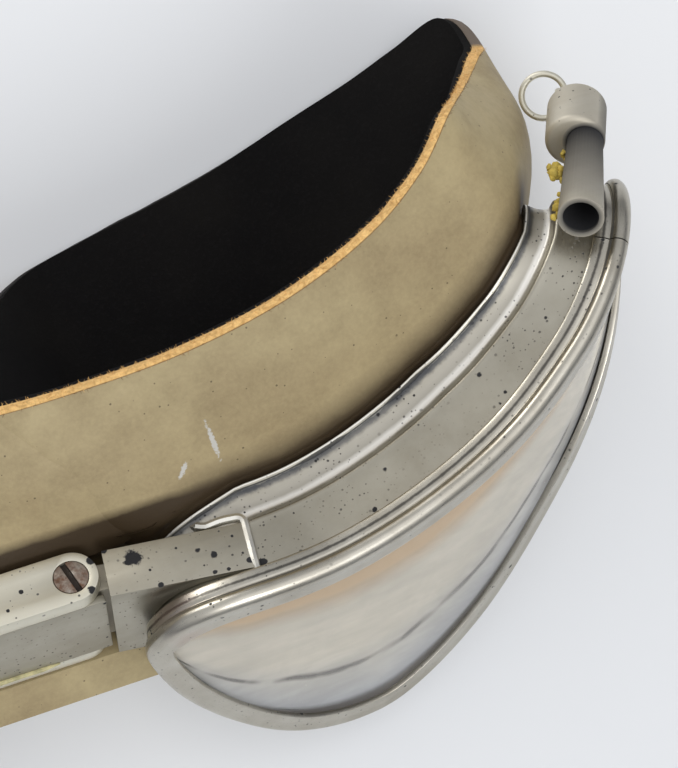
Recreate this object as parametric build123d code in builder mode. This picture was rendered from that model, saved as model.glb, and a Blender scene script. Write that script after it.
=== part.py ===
"""Aviator flying goggles standing on a table, front towards -Y, wearer's top towards +Z.

Two metal eyepieces with curved teardrop lenses hang on a nose bridge of two links.
Each eyepiece turns on a slotted pivot screw. Its band is laid out on a flattened wall,
along the wall (s) and up it (z), and then wrapped round the curved front.
A leather cushion runs from the rear lip of each band to the edge that meets the face.
Everything is modelled about the right pivot and set down on the table at the end.
"""

from build123d import *

import os
from math import cos, degrees, radians, sin

os.makedirs("parts", exist_ok=True)

# Whole object, mm and degrees
pivot_spacing = 26.0
lean_angle = 27.0
splay_angle = 7.5
running_gap = 0.05
seat_gap = 0.15
overrun = 2.0
sheet = 0.8

# Curved front of the eyepiece, as two arcs seen from above
wall_start_x = 3.5
wall_start_y = -6.4
wall_start_heading = -5.0
broad_radius = 77.0
broad_length = 62.0
temple_radius = 31.0

# Teardrop rim on the flattened wall
rim_length = 87.0
rim_height = 46.0
rim_shares = [
    (0.045, -0.196), (0.058, -0.098), (0.100, -0.022), (0.172, 0.011), (0.310, 0.011),
    (0.460, 0.041), (0.598, 0.083), (0.713, 0.161), (0.816, 0.226), (0.920, 0.239),
    (0.983, 0.174), (1.000, 0.065), (0.954, -0.076), (0.868, -0.196), (0.776, -0.359),
    (0.690, -0.554), (0.563, -0.809), (0.425, -0.970), (0.333, -0.974), (0.230, -0.870),
    (0.144, -0.680), (0.083, -0.446),
]

# How finely the curves are cut
stations_per_point = 2
tangent_step = 0.05
outline_steps = 8
lens_columns = 40
column_margin_share = 0.04
cut_spread = 4

# Lens, bezel and gasket
lens_thickness = 1.6
lens_front = -0.7
lens_inset = 1.5
bezel_width = 3.4
bezel_side = 0.9
bezel_depth = 3.9
bezel_round = 0.8
bezel_shoulder_share = 0.3
bezel_crown_share = 0.4
bezel_bead_share = 0.6
gasket_width = 1.4
gasket_thickness = 1.2
split_width = 0.3
split_index = 17

# Band behind the bezel
band_inset = 1.1
band_depth_corner = 10.3
band_depth_nose = 13.5
corner_start = 5.0
corner_end = 19.5
corner_high = -10.0
corner_low = -22.0
band_depth_temple = 10.5
seat_depth = 2.3
seat_width = 1.4
temple_start_share = 0.8
temple_fade_share = 0.3
step_drop = 0.9
ridge_share = 0.64
hollow_start_share = 0.71
hollow_end_share = 0.84
lip_rise = 0.8

# Bridge links, web and screws
link_width = 6.3
link_thickness = 2.2
bridge_height = 15.5
bottom_link_thickness = 1.6
web_thickness = 1.0
web_reach = 3.0
screw_head_radius = 2.0
screw_head_height = 0.7
screw_radius = 1.1
slot_width = 0.7
slot_depth = 0.5
slot_turn = 76.0

# Bracket on the nose side of each eyepiece
bracket_gap = 0.75
bracket_length = 16.6
bracket_depth = 5.9
bracket_front = -3.5
bracket_height = 14.6
bracket_rise = 0.2
knuckle_radius = 2.0
knuckle_gap = 0.1
neck_front = 1.2
arm_length = 6.5

# Leather cushion: rear edge from the pivot, as shares of the face opening
face_width = 77.0
face_depth = 53.0
face_height = 50.5
face_edge_shares = [
    (-0.068, 0.452, -0.099), (-0.074, 0.401, 0.050), (-0.051, 0.375, 0.131), (0.078, 0.370, 0.137),
    (0.247, 0.381, 0.137), (0.416, 0.424, 0.137), (0.565, 0.503, 0.135), (0.669, 0.600, 0.127),
    (0.744, 0.707, 0.079), (0.800, 0.762, -0.100), (0.850, 0.809, -0.288), (0.905, 0.870, -0.460),
    (0.944, 0.913, -0.612), (0.934, 1.004, -0.745), (0.850, 0.972, -0.836), (0.752, 0.932, -0.852),
    (0.622, 0.890, -0.852), (0.477, 0.836, -0.852), (0.344, 0.796, -0.852), (0.208, 0.757, -0.850),
    (0.085, 0.708, -0.800), (-0.013, 0.600, -0.500),
]
leather = 1.5
lining = 1.1
raw_edge = 1.3
cushion_start = 0.4
wall_span = 3
puff_shares = [
    2.0, 3.0, 2.0, 1.0, 1.0, 1.0, 1.0, 1.0, 1.4, 2.3, 3.6, 4.6, 4.2, 2.4, 0.4, -1.0,
    -1.5, -1.5, -1.1, 1.6, 1.4, 0.5,
]
puff = 0.8
swell_start_share = 0.35
swell_end_share = 0.70

# Nose cushion profile behind and below the bridge, from the pivot plane
nose_top_y = 19.9
nose_top_z = 6.6
nose_lip_y = -14.2
nose_lip_z = -16.2
nose_arch_y = 21.0
nose_arch_z = -9.0
nose_arch_drop = 1.9
nose_arch_half = 9.5
nose_clearance = 0.5
nose_drop = 1.6
nose_front_half = 24.0
nose_rear_half = 13.0
nose_strip_half = 20.0
nose_crown_share = 0.7
nose_edge_share = 0.97
leaf_side_z = -5.5

# Temple tube on the band, from a station of the rim: out of it, behind the front and along it
tube_index = 18
tube_top_out = 3.95
tube_top_back = 4.3
tube_top_along = 5.2
tube_axis_shares = (-0.222, -0.049, -0.977)
tube_mouth_radius = 2.7
tube_end_radius = 2.15
tube_bore_radius = 2.1
tube_bore_length = 7.0
tube_floor = 1.0
tube_length = 16.0
saddle_start = 5.0
saddle_end = 14.0
saddle_half = 1.6
saddle_drop = 6.5

# Pin, strap sleeve, clip and ring, from the tube's mouth and axis
pin_radius = 1.1
pin_head_radius = 1.6
pin_head_height = 0.8
sleeve_radius = 3.6
sleeve_shift = 1.2
sleeve_length = 8.0
sleeve_round = 0.7
cap_radius = 2.85
cap_thickness = 1.0
eye_centre = (-2.6, 0.5, -26.3)
eye_width = 2.2
eye_depth = 1.6
eye_up = 2.4
eye_down = 1.0
eye_radius = 0.7
ring_radius = 2.7
ring_wire = 0.4
ring_face = (0.0, 0.46, 0.89)

pivot_x = pivot_spacing / 2
heading_at_bend = wall_start_heading + degrees(broad_length / broad_radius)


def unit(vector):
    return vector.normalized()


def through(points, place):
    """Point on a smooth closed line through the points; place counts points."""
    count = len(points)
    first = int(place) % count
    share = place - int(place)
    before, here, after, beyond = (Vector(*points[(first + k) % count]) for k in (-1, 0, 1, 2))
    slope_here = (after - before) * 0.5
    slope_after = (beyond - here) * 0.5
    step = after - here
    return (
        here
        + slope_here * share
        + (step * 3 - slope_here * 2 - slope_after) * share**2
        + (slope_here + slope_after - step * 2) * share**3
    )


# The eyepiece's own axes: x along the bracket, y towards the face, z up the hinge
lean = radians(lean_angle)
splay = radians(splay_angle)
eye_plane = Plane(
    origin=(pivot_x, 0, 0),
    x_dir=(cos(splay), -sin(splay) * cos(lean), sin(splay) * sin(lean)),
    z_dir=(0, sin(lean), cos(lean)),
)
link_plane = Plane(origin=(0, 0, 0), x_dir=(1, 0, 0), z_dir=(0, sin(lean), cos(lean)))


def wall_heading(s):
    bend = max(s - broad_length, 0)
    straight = min(s, broad_length)
    return radians(wall_start_heading) + straight / broad_radius + bend / temple_radius


def wall_place(s):
    """Plan place on the curved front, in the eyepiece's axes."""
    start = radians(wall_start_heading)
    turn = start + min(s, broad_length) / broad_radius
    x = wall_start_x + broad_radius * (sin(turn) - sin(start))
    y = wall_start_y - broad_radius * (cos(turn) - cos(start))
    if s > broad_length:
        end = wall_heading(s)
        x += temple_radius * (sin(end) - sin(turn))
        y -= temple_radius * (cos(end) - cos(turn))
    return x, y


def wall_point(s, z, depth):
    """Point of the part that lies depth behind the curved front."""
    x, y = wall_place(s)
    turn = wall_heading(s)
    return eye_plane.from_local_coords((x - sin(turn) * depth, y + cos(turn) * depth, z))


rim_points = [(s * rim_length, z * rim_height) for s, z in rim_shares]
face_points = [
    (pivot_x + x * face_width, y * face_depth, z * face_height) for x, y, z in face_edge_shares
]
puff_points = [(share * puff, 0) for share in puff_shares]
station_count = len(rim_points) * stations_per_point


class Station:
    """One cross-section place round the rim."""

    def __init__(self, index):
        self.place = index / stations_per_point % len(rim_points)
        spot = through(rim_points, self.place)
        ahead = through(rim_points, self.place + tangent_step)
        behind = through(rim_points, self.place - tangent_step + len(rim_points))
        along = unit(ahead - behind)
        self.s, self.z = spot.X, spot.Y
        turn = wall_heading(self.s)
        tangent = eye_plane.x_dir * cos(turn) + eye_plane.y_dir * sin(turn)
        self.back = eye_plane.y_dir * cos(turn) - eye_plane.x_dir * sin(turn)
        self.out = unit(tangent * -along.Y + eye_plane.z_dir * along.X)
        self.origin = wall_point(self.s, self.z, 0)
        self.plane = Plane(origin=self.origin, x_dir=self.out, z_dir=self.out.cross(self.back))
        past_start = self.s - broad_length * temple_start_share
        temple_share = min(max(past_start / (rim_length * temple_fade_share), 0), 1)
        corner_share = min(max((corner_end - self.s) / (corner_end - corner_start), 0), 1)
        corner_share *= min(max((self.z - corner_low) / (corner_high - corner_low), 0), 1)
        self.band_depth = (
            band_depth_nose + (band_depth_temple - band_depth_nose) * temple_share
            + (band_depth_corner - band_depth_nose) * corner_share
        )

    def at(self, out, depth):
        return self.origin + self.out * out + self.back * depth


stations = [Station(index) for index in range(station_count + 1)]
halves = (range(0, station_count // 2 + 1), range(station_count // 2, station_count + 1))


def ring(profile):
    """Closed ring lofted through a profile (out, depth) at every station of the rim."""
    with BuildPart() as band:
        for half in halves:
            for index in half:
                with BuildSketch(stations[index].plane):
                    with BuildLine():
                        Polyline(*profile(stations[index]), close=True)
                    make_face()
            loft(ruled=True)
    return band.part


def bezel_profile(station):
    front = lens_front - seat_gap - sheet
    return [
        (-bezel_width, front), (-bezel_side - bezel_round, front),
        (-bezel_round * bezel_shoulder_share, front - bezel_round * bezel_crown_share),
        (bezel_round * bezel_bead_share, front + bezel_round * bezel_bead_share),
        (bezel_round * bezel_bead_share, front + bezel_depth * bezel_bead_share), (0, front + bezel_depth),
        (-bezel_side, front + bezel_depth), (-bezel_side, front + sheet), (-bezel_width, front + sheet),
    ]


def gasket_profile(station):
    front = lens_front + lens_thickness + running_gap * 2
    outer = -band_inset - sheet - running_gap
    return [
        (outer, front), (outer, front + gasket_thickness),
        (outer - gasket_width, front + gasket_thickness), (outer - gasket_width, front),
    ]


def band_profile(station):
    depth = station.band_depth
    outer = -band_inset
    low = outer - step_drop
    start = lens_front + lens_thickness + running_gap * 2
    seat = start + gasket_thickness + running_gap
    outside = [
        (outer, start), (outer, depth * ridge_share), (low, depth * hollow_start_share),
        (low, depth * hollow_end_share), (low + lip_rise, depth),
    ]
    inside = [
        (low + lip_rise - sheet, depth), (low - sheet, depth * hollow_end_share),
        (low - sheet, depth * hollow_start_share), (outer - sheet, depth * ridge_share),
        (outer - sheet, seat + sheet), (outer - sheet - seat_width, seat + sheet),
        (outer - sheet - seat_width, seat), (outer - sheet, seat), (outer - sheet, start),
    ]
    return outside + inside


# Lens: columns between the lower and the upper edge, wrapped round the front
fine_count = outline_steps * len(rim_points)


def inset_outline(inset):
    """Rim line moved inwards on the flattened wall."""
    moved = []
    for index in range(fine_count):
        place = index * len(rim_points) / fine_count
        spot = through(rim_points, place)
        along = through(rim_points, place + tangent_step) - spot
        normal = unit(Vector(-along.Y, along.X))
        moved.append(spot - normal * inset)
    return moved


def column_ends(outline, s):
    """Lowest and highest z of a closed outline at s."""
    crossings = []
    for here, after in zip(outline, outline[1:] + outline[:1]):
        if (here.X - s) * (after.X - s) <= 0 and here.X != after.X:
            share = (s - here.X) / (after.X - here.X)
            crossings.append(here.Y + (after.Y - here.Y) * share)
    return min(crossings), max(crossings)


def slab(inset, front, back, column_count):
    """Solid inside the rim line, between two depths behind the curved front."""
    outline = inset_outline(inset)
    nose_end = min(spot.X for spot in outline)
    temple_end = max(spot.X for spot in outline)
    reach = (temple_end - nose_end) / 2
    with BuildPart() as part:
        for column in range(column_count + 1):
            share = column_margin_share + (1 - 2 * column_margin_share) * column / column_count
            turn = radians(180 * share)
            s = nose_end + reach * (1 - cos(turn))
            low, high = column_ends(outline, s)
            across = wall_point(s, 0, back) - wall_point(s, 0, front)
            plane = Plane(origin=wall_point(s, 0, front), x_dir=across, z_dir=across.cross(eye_plane.z_dir))
            with BuildSketch(plane):
                with BuildLine():
                    Polyline((0, low), (back - front, low), (back - front, high), (0, high), close=True)
                make_face()
        loft(ruled=True)
    return part.part


lens = slab(lens_inset, lens_front, lens_front + lens_thickness, lens_columns)
band_envelope = slab(band_inset - seat_gap, lens_front - overrun, band_depth_nose, lens_columns)
bezel_whole = ring(bezel_profile)
gasket = ring(gasket_profile)
band = ring(band_profile)

# Split of the bezel at the temple
split_station = stations[split_index]
tube_station = stations[tube_index]
tube_along = tube_station.out.cross(tube_station.back)


def from_tube_station(out, back, along):
    """Direction given at the tube's station, in the part's own axes."""
    return tube_station.out * out + tube_station.back * back + tube_along * along


tube_axis = unit(from_tube_station(*tube_axis_shares))
temple_plane = Plane(
    origin=tube_station.origin + from_tube_station(tube_top_out, tube_top_back, tube_top_along),
    x_dir=Vector(1, 0, 0) - tube_axis * tube_axis.X,
    z_dir=tube_axis * -1,
)
with BuildPart() as bezel:
    add(bezel_whole)
    with BuildSketch(split_station.plane.offset(-split_width / 2)):
        Rectangle(bezel_width * cut_spread, bezel_depth * cut_spread)
    extrude(amount=split_width, mode=Mode.SUBTRACT)
    with BuildSketch(temple_plane):
        Circle(tube_mouth_radius + seat_gap)
    extrude(amount=-tube_length - overrun, mode=Mode.SUBTRACT)

# Bridge: two links, the web between them and the pivot screws
pivots = GridLocations(pivot_spacing, 0, 2, 1)
hole_radius = screw_radius + running_gap
bottom_link_top = bottom_link_thickness - bridge_height

with BuildPart() as top_link:
    with BuildSketch(link_plane):
        SlotCenterToCenter(pivot_spacing, link_width)
        with pivots:
            Circle(hole_radius, mode=Mode.SUBTRACT)
    extrude(amount=-link_thickness)
    with BuildSketch(link_plane):
        with pivots:
            Circle(screw_head_radius + running_gap)
    extrude(amount=-screw_head_height, mode=Mode.SUBTRACT)

with BuildPart() as bottom_link:
    with BuildSketch(link_plane.offset(-bridge_height)):
        SlotCenterToCenter(pivot_spacing, link_width)
        with pivots:
            Circle(hole_radius, mode=Mode.SUBTRACT)
    extrude(amount=bottom_link_thickness)

with BuildPart() as front_web:
    with BuildSketch(link_plane.offset(bottom_link_top)):
        with Locations((0, (web_thickness - link_width) / 2)):
            Rectangle(pivot_spacing + 2 * web_reach, web_thickness)
    extrude(amount=bridge_height - bottom_link_thickness - link_thickness)

with BuildPart() as pivot_screws:
    with BuildSketch(link_plane.offset(-bridge_height)):
        with pivots:
            Circle(screw_radius)
    extrude(amount=bridge_height - screw_head_height + running_gap)
    with BuildSketch(link_plane.offset(running_gap - screw_head_height)):
        with pivots:
            Circle(screw_head_radius)
    extrude(amount=screw_head_height)
    with BuildSketch(link_plane.offset(running_gap - slot_depth)):
        with pivots:
            Rectangle(screw_head_radius * cut_spread, slot_width, rotation=-slot_turn)
    extrude(amount=slot_depth + overrun, mode=Mode.SUBTRACT)

# Bracket: a boxed arm over the nose corner of the band, open towards the face
bracket_start = link_width / 2 + bracket_gap
bracket_middle = bracket_start + bracket_length / 2
with BuildPart() as bracket:
    with BuildSketch(eye_plane.offset(bracket_rise - bracket_height)):
        with Locations((bracket_middle, bracket_front + bracket_depth / 2)):
            Rectangle(bracket_length, bracket_depth)
    extrude(amount=bracket_height)
    with BuildSketch(eye_plane.offset(bracket_rise - bracket_height + sheet)):
        with Locations((bracket_middle, bracket_front + bracket_depth / 2 + sheet)):
            Rectangle(bracket_length + overrun, bracket_depth)
    extrude(amount=bracket_height - 2 * sheet, mode=Mode.SUBTRACT)
    add(band_envelope, mode=Mode.SUBTRACT)

# Knuckle: barrel on the pivot screw with an arm that fills the bracket
knuckle_bottom = max(bottom_link_top, bracket_rise - bracket_height + sheet) + knuckle_gap
knuckle_top = -link_thickness - knuckle_gap
arm_front = bracket_front + sheet + running_gap
arm_low = bracket_rise - bracket_height + sheet + running_gap
arm_high = bracket_rise - sheet - running_gap
arm_start = bracket_start + sheet
with BuildPart() as knuckle:
    with BuildSketch(eye_plane.offset(knuckle_bottom)):
        Circle(knuckle_radius)
        with Locations((arm_start / 2, (knuckle_radius - neck_front) / 2)):
            Rectangle(arm_start + running_gap, knuckle_radius + neck_front)
        Circle(hole_radius, mode=Mode.SUBTRACT)
    extrude(amount=knuckle_top - knuckle_bottom)
    with BuildSketch(eye_plane.offset(arm_low)):
        with Locations((arm_start + arm_length / 2, (arm_front + knuckle_radius) / 2)):
            Rectangle(arm_length, knuckle_radius - arm_front)
    extrude(amount=arm_high - arm_low)
    add(band_envelope, mode=Mode.SUBTRACT)

# Cushion: a soft wall from the rear lip of the band to the edge that meets the face
def wall_frame(index):
    """Plane and length of the cushion wall at a station; its y axis points inwards."""
    def ends(number):
        station = stations[number % station_count]
        lip = -band_inset - step_drop + lip_rise
        return station.at(lip, station.band_depth + seat_gap), through(face_points, station.place)

    (lip_before, face_before), (lip_after, face_after) = ends(index - wall_span), ends(index + wall_span)
    lip_here, face_here = ends(index)
    along = lip_after + face_after - lip_before - face_before
    chord = face_here - lip_here
    inward = unit(chord.cross(along))
    return Plane(origin=lip_here, x_dir=chord, z_dir=chord.cross(inward)), chord.length


def cushion_wall(outer, inner, start, end, from_edge=False):
    """Soft wall between two depths; start and end are trimmed off its length."""
    with BuildPart() as wall:
        for half in halves:
            sections = []
            for index in half:
                plane, length = wall_frame(index)
                swell = through(puff_points, stations[index].place).X
                swell_start, swell_end = length * swell_start_share, length * swell_end_share
                first = length - raw_edge if from_edge else start
                last = length - end
                outside = [(first, outer), (last, outer)]
                inside = [(last, inner), (first, inner)]
                if not from_edge:
                    outside[1:1] = [(swell_start, outer - swell), (swell_end, outer - swell)]
                    inside[1:1] = [(swell_end, inner - swell), (swell_start, inner - swell)]
                corners = [plane.from_local_coords((x, y, 0)) for x, y in outside + inside]
                sections.append(Face(Wire.make_polygon(corners)))
            loft(sections, ruled=True)
    return wall.part


cushion = cushion_wall(0, leather, cushion_start, raw_edge + running_gap)
lining_wall = cushion_wall(leather + running_gap, leather + lining, cushion_start, raw_edge + seat_gap)
cushion_edge = cushion_wall(0, leather, 0, 0, from_edge=True)
with BuildPart() as cushion_lining:
    add(lining_wall)
    add(cushion, mode=Mode.SUBTRACT)
lining_solid = cushion_lining.part.solids().sort_by(SortBy.VOLUME)[-1]

# Nose cushion: a leather leaf above, a strip behind and under the bridge, an arch below
behind = link_width / 2 + nose_clearance
below = -bridge_height - nose_clearance
leaf_front_y = link_plane.from_local_coords((0, behind, -nose_drop)).Y
leaf_front_z = link_plane.from_local_coords((0, behind, -nose_drop)).Z
leaf_edge_share = raw_edge / (nose_top_y - leaf_front_y)
cushion_room = cushion_wall(-nose_clearance, leather + lining + overrun, 0, -overrun)
cushion_rooms = [cushion_room, mirror(cushion_room, about=Plane.YZ)]


def middle_solid(part):
    """The largest solid of a part that the face cushions cut in pieces."""
    return part.solids().sort_by(SortBy.VOLUME)[-1]


def leaf_section(y, half, middle_z, side_z, start, end):
    """Crowned cross-section of the leaf at one y, between two depths."""
    rise = (middle_z - side_z) * nose_crown_share
    top = [(-half, side_z), (-half / 2, side_z + rise), (0, middle_z), (half / 2, side_z + rise), (half, side_z)]
    spots = [(x, z - start) for x, z in top] + [(x, z - end) for x, z in reversed(top)]
    return Face(Wire.make_polygon([Vector(x, y, z) for x, z in spots]))


def leaf(start, end, share_from, share_to):
    """Part of the leaf between two shares of the way from its rear edge to the link."""
    sections = []
    for share in (share_from, share_to):
        sections.append(leaf_section(
            nose_top_y + (leaf_front_y - nose_top_y) * share,
            nose_rear_half + (nose_front_half - nose_rear_half) * share,
            nose_top_z + (leaf_front_z - nose_top_z) * share,
            nose_top_z + (leaf_side_z - nose_top_z) * share, start, end,
        ))
    return loft(sections, ruled=True)


with BuildPart() as nose_cushion:
    leaf(0, leather, leaf_edge_share, 1)
    with BuildSketch(Plane.YZ.offset(-nose_strip_half)):
        with BuildLine():
            strip = [(behind, -nose_drop), (behind, below), (-link_width / 2, below)]
            back = [
                (-link_width / 2, below - leather), (behind + leather, below - leather),
                (behind + leather, -nose_drop),
            ]
            spots = [link_plane.from_local_coords((0, y, z)) for y, z in strip]
            returns = [link_plane.from_local_coords((0, y, z)) for y, z in back]
            lip = [(nose_lip_y, nose_lip_z), (nose_lip_y, nose_lip_z - leather)]
            Polyline(
                *[(spot.Y, spot.Z) for spot in spots], *lip, *[(spot.Y, spot.Z) for spot in returns],
                close=True,
            )
        make_face()
    extrude(amount=2 * nose_strip_half)
    add(cushion_rooms, mode=Mode.SUBTRACT)
nose_cushion_solid = middle_solid(nose_cushion.part)

with BuildPart() as nose_edge:
    leaf(0, leather, 0, leaf_edge_share * nose_edge_share)
    add(cushion_rooms, mode=Mode.SUBTRACT)
nose_edge_solid = middle_solid(nose_edge.part)

arch_front = (nose_lip_y, nose_lip_z - leather - running_gap)
arch_middle = (spots[1].Y, arch_front[1] - nose_arch_drop)
arch_rear = (nose_arch_y, nose_arch_z)
with BuildPart() as nose_lining:
    with BuildSketch(Plane.YZ.offset(-nose_strip_half)):
        with BuildLine():
            arch_line = [arch_front, arch_middle, arch_rear]
            Polyline(*arch_line, *[(y, z - lining) for y, z in reversed(arch_line)], close=True)
        make_face()
    extrude(amount=2 * nose_strip_half)
    with BuildSketch(Plane.XY.offset(-face_height)):
        with BuildLine():
            sides = [
                (nose_strip_half, nose_lip_y), (nose_strip_half, leaf_front_y),
                (nose_arch_half, nose_arch_y),
            ]
            Polyline(*sides, *[(-x, y) for x, y in reversed(sides)], close=True)
        make_face()
    extrude(amount=2 * face_height, mode=Mode.INTERSECT)
    add(cushion_rooms, mode=Mode.SUBTRACT)
nose_lining_solid = middle_solid(nose_lining.part)

# Temple: a tapered tube on a saddle, open in front, with a pin for the sleeve at its other end
pin_start = -tube_bore_length - tube_floor
pin_hole_radius = pin_radius + running_gap
sleeve_top = -tube_length - running_gap
sleeve_end = sleeve_top - sleeve_length
cap_top = sleeve_end + cap_thickness
head_low = cap_top + running_gap * 2
head_high = head_low + pin_head_height
with BuildPart() as temple_tube:
    with BuildSketch(temple_plane):
        Circle(tube_mouth_radius)
    with BuildSketch(temple_plane.offset(-tube_length)):
        Circle(tube_end_radius)
    loft()
    with BuildSketch(temple_plane.offset(-saddle_start)):
        with Locations((0, -(saddle_drop + tube_bore_radius) / 2)):
            Rectangle(2 * saddle_half, saddle_drop - tube_bore_radius)
    extrude(amount=saddle_start - saddle_end)
    with BuildSketch(temple_plane):
        Circle(tube_bore_radius)
    extrude(amount=-tube_bore_length, mode=Mode.SUBTRACT)
    with BuildSketch(temple_plane.offset(pin_start)):
        Circle(pin_hole_radius)
    extrude(amount=-tube_length - pin_start, mode=Mode.SUBTRACT)
    add([band_envelope, band, bezel.part], mode=Mode.SUBTRACT)
temple_tube_solid = temple_tube.part.solids().sort_by(SortBy.VOLUME)[-1]

with BuildPart() as temple_pin:
    with BuildSketch(temple_plane.offset(pin_start - running_gap)):
        Circle(pin_radius)
    extrude(amount=head_high - pin_start)
    with BuildSketch(temple_plane.offset(head_low)):
        Circle(pin_head_radius)
    extrude(amount=pin_head_height)

with BuildPart() as strap_sleeve:
    with BuildSketch(temple_plane.offset(sleeve_top)):
        with Locations((-sleeve_shift, 0)):
            Circle(sleeve_radius)
    extrude(amount=-sleeve_length)
    fillet(strap_sleeve.edges().filter_by(GeomType.CIRCLE), sleeve_round)
    with BuildSketch(temple_plane.offset(sleeve_top)):
        Circle(pin_hole_radius)
    extrude(amount=-sleeve_length, mode=Mode.SUBTRACT)
    with BuildSketch(temple_plane.offset(head_high + running_gap)):
        with Locations((-sleeve_shift, 0)):
            Circle(cap_radius + running_gap)
    extrude(amount=sleeve_end - head_high - running_gap, mode=Mode.SUBTRACT)

# Clip: a cap in the sleeve's end with an eye for the wire ring
ring_normal = unit(Vector(*ring_face))
ring_side = Vector(-1, 0, 0)
wire_way = ring_normal.cross(ring_side)
eye = Vector(*eye_centre)


def at_temple(vector):
    """Direction given in the tube's axes, in the part's own axes."""
    return temple_plane.from_local_coords(vector) - temple_plane.origin


eye_plane_local = Plane(
    origin=temple_plane.from_local_coords(eye), x_dir=at_temple(ring_side), z_dir=at_temple(wire_way),
)
eye_side = 1 if eye_plane_local.y_dir.dot(temple_plane.z_dir) > 0 else -1
with BuildPart() as ring_clip:
    with BuildSketch(temple_plane.offset(sleeve_end)):
        with Locations((-sleeve_shift, 0)):
            Circle(cap_radius)
    extrude(amount=cap_thickness)
    with BuildSketch(eye_plane_local.offset(-eye_depth / 2)):
        with Locations((0, (eye_up - eye_down) / 2 * eye_side)):
            Rectangle(eye_width, eye_up + eye_down)
    extrude(amount=eye_depth)
    with BuildSketch(eye_plane_local.offset(-eye_depth / 2)):
        Circle(eye_radius)
    extrude(amount=eye_depth, mode=Mode.SUBTRACT)

ring_plane = Plane(
    origin=temple_plane.from_local_coords(eye + ring_side * ring_radius),
    x_dir=at_temple(ring_side), z_dir=at_temple(ring_normal),
)
wire_start = Plane(
    origin=ring_plane.origin - ring_plane.x_dir * ring_radius,
    x_dir=ring_plane.x_dir, z_dir=ring_plane.y_dir,
)
with BuildPart() as strap_ring:
    with BuildSketch(wire_start):
        Circle(ring_wire)
    revolve(axis=Axis(ring_plane.origin, ring_plane.z_dir))

# Left side as the mirror image, then everything set down on the table
right_pieces = {
    "lens": lens, "lens_gasket": gasket, "lens_bezel": bezel.part, "eyecup_band": band,
    "bridge_bracket": bracket.part, "hinge_knuckle": knuckle.part, "temple_tube": temple_tube_solid,
    "temple_pin": temple_pin.part, "strap_sleeve": strap_sleeve.part, "ring_clip": ring_clip.part,
    "strap_ring": strap_ring.part, "face_cushion": cushion, "cushion_lining": lining_solid,
    "cushion_edge": cushion_edge,
}
pieces = {
    "bridge_top_link": top_link.part, "bridge_bottom_link": bottom_link.part,
    "bridge_web": front_web.part, "pivot_screws": pivot_screws.part, "nose_cushion": nose_cushion_solid,
    "nose_lining": nose_lining_solid, "nose_edge": nose_edge_solid,
}
for name, piece in right_pieces.items():
    pieces["right_" + name] = piece
    pieces["left_" + name] = mirror(piece, about=Plane.YZ)

boxes = [piece.bounding_box() for piece in pieces.values()]
lowest = [min(getattr(box.min, axis) for box in boxes) for axis in "XYZ"]
highest = [max(getattr(box.max, axis) for box in boxes) for axis in "XYZ"]
ground = Vector((lowest[0] + highest[0]) / -2, (lowest[1] + highest[1]) / -2, -lowest[2])
for name, piece in pieces.items():
    placed = piece.moved(Location(ground))
    placed.label = name
    export_step(placed, f"parts/{name}.step")

print("ground shift", ground, "size", Vector(*highest) - Vector(*lowest))
print("right pivot", ground + Vector(pivot_x, 0, 0), "axis", eye_plane.z_dir)
print("right tube top", temple_plane.origin + ground, "axis", tube_axis)
print("right ring eye", eye_plane_local.origin + ground, "axis", eye_plane_local.z_dir)
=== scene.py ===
"""Looks of the flying goggles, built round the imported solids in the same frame, in metres.

Lengths below are millimetres in the part's own numbers and become metres in the meshes.
The curves of the lens rim and of the face edge repeat the driving values of the part.
"""

from functools import lru_cache
from math import cos, pi, radians, sin

import bmesh
import bpy
from mathutils import Matrix, Vector, noise


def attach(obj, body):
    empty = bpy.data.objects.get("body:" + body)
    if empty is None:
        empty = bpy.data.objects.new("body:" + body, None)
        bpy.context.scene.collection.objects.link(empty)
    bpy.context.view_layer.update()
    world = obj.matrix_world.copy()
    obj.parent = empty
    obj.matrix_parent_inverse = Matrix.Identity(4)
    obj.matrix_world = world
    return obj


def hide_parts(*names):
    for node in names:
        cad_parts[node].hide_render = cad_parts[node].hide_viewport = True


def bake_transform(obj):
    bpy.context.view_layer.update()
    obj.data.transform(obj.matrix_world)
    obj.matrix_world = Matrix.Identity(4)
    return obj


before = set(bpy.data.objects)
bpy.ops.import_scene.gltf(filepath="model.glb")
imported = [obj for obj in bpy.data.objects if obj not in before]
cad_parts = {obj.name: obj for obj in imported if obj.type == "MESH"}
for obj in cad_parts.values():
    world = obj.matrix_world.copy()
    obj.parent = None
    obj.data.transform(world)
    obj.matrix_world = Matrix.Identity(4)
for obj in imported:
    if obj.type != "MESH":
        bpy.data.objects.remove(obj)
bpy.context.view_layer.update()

MM = 0.001
GROUND = Vector((0, -12.5095, 43.1333))
PIVOT_X = 13.0
PIVOT = Vector((PIVOT_X, 0, 0)) + GROUND

# Camera at the photograph's place, measured from the pivot screw
CAMERA_FROM_PIVOT = Vector((-23.1, 0.2, 339.7))
CAMERA_RIGHT = Vector((0.938, -0.311, 0.153))
CAMERA_DOWN = Vector((-0.301, -0.950, -0.084))
FOCAL_PIXELS = 3000
PICTURE_HEIGHT, PICTURE_CENTRE = 768, (339, 384)
SENSOR = 36.0


def camera_axes():
    """Unit directions to the right, up, and back towards the camera."""
    right = CAMERA_RIGHT.normalized()
    back = right.cross(-CAMERA_DOWN).normalized()
    return right, back.cross(right), back


def place_camera():
    data = bpy.data.cameras.new("camera")
    data.sensor_width = SENSOR
    data.lens = FOCAL_PIXELS * SENSOR / PICTURE_HEIGHT
    data.clip_start = 0.01
    camera = bpy.data.objects.new("camera", data)
    turned = Matrix(camera_axes()).transposed().to_4x4()
    camera.matrix_world = Matrix.Translation((PIVOT + CAMERA_FROM_PIVOT) * MM) @ turned
    bpy.context.scene.collection.objects.link(camera)
    bpy.context.scene.camera = camera


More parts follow.
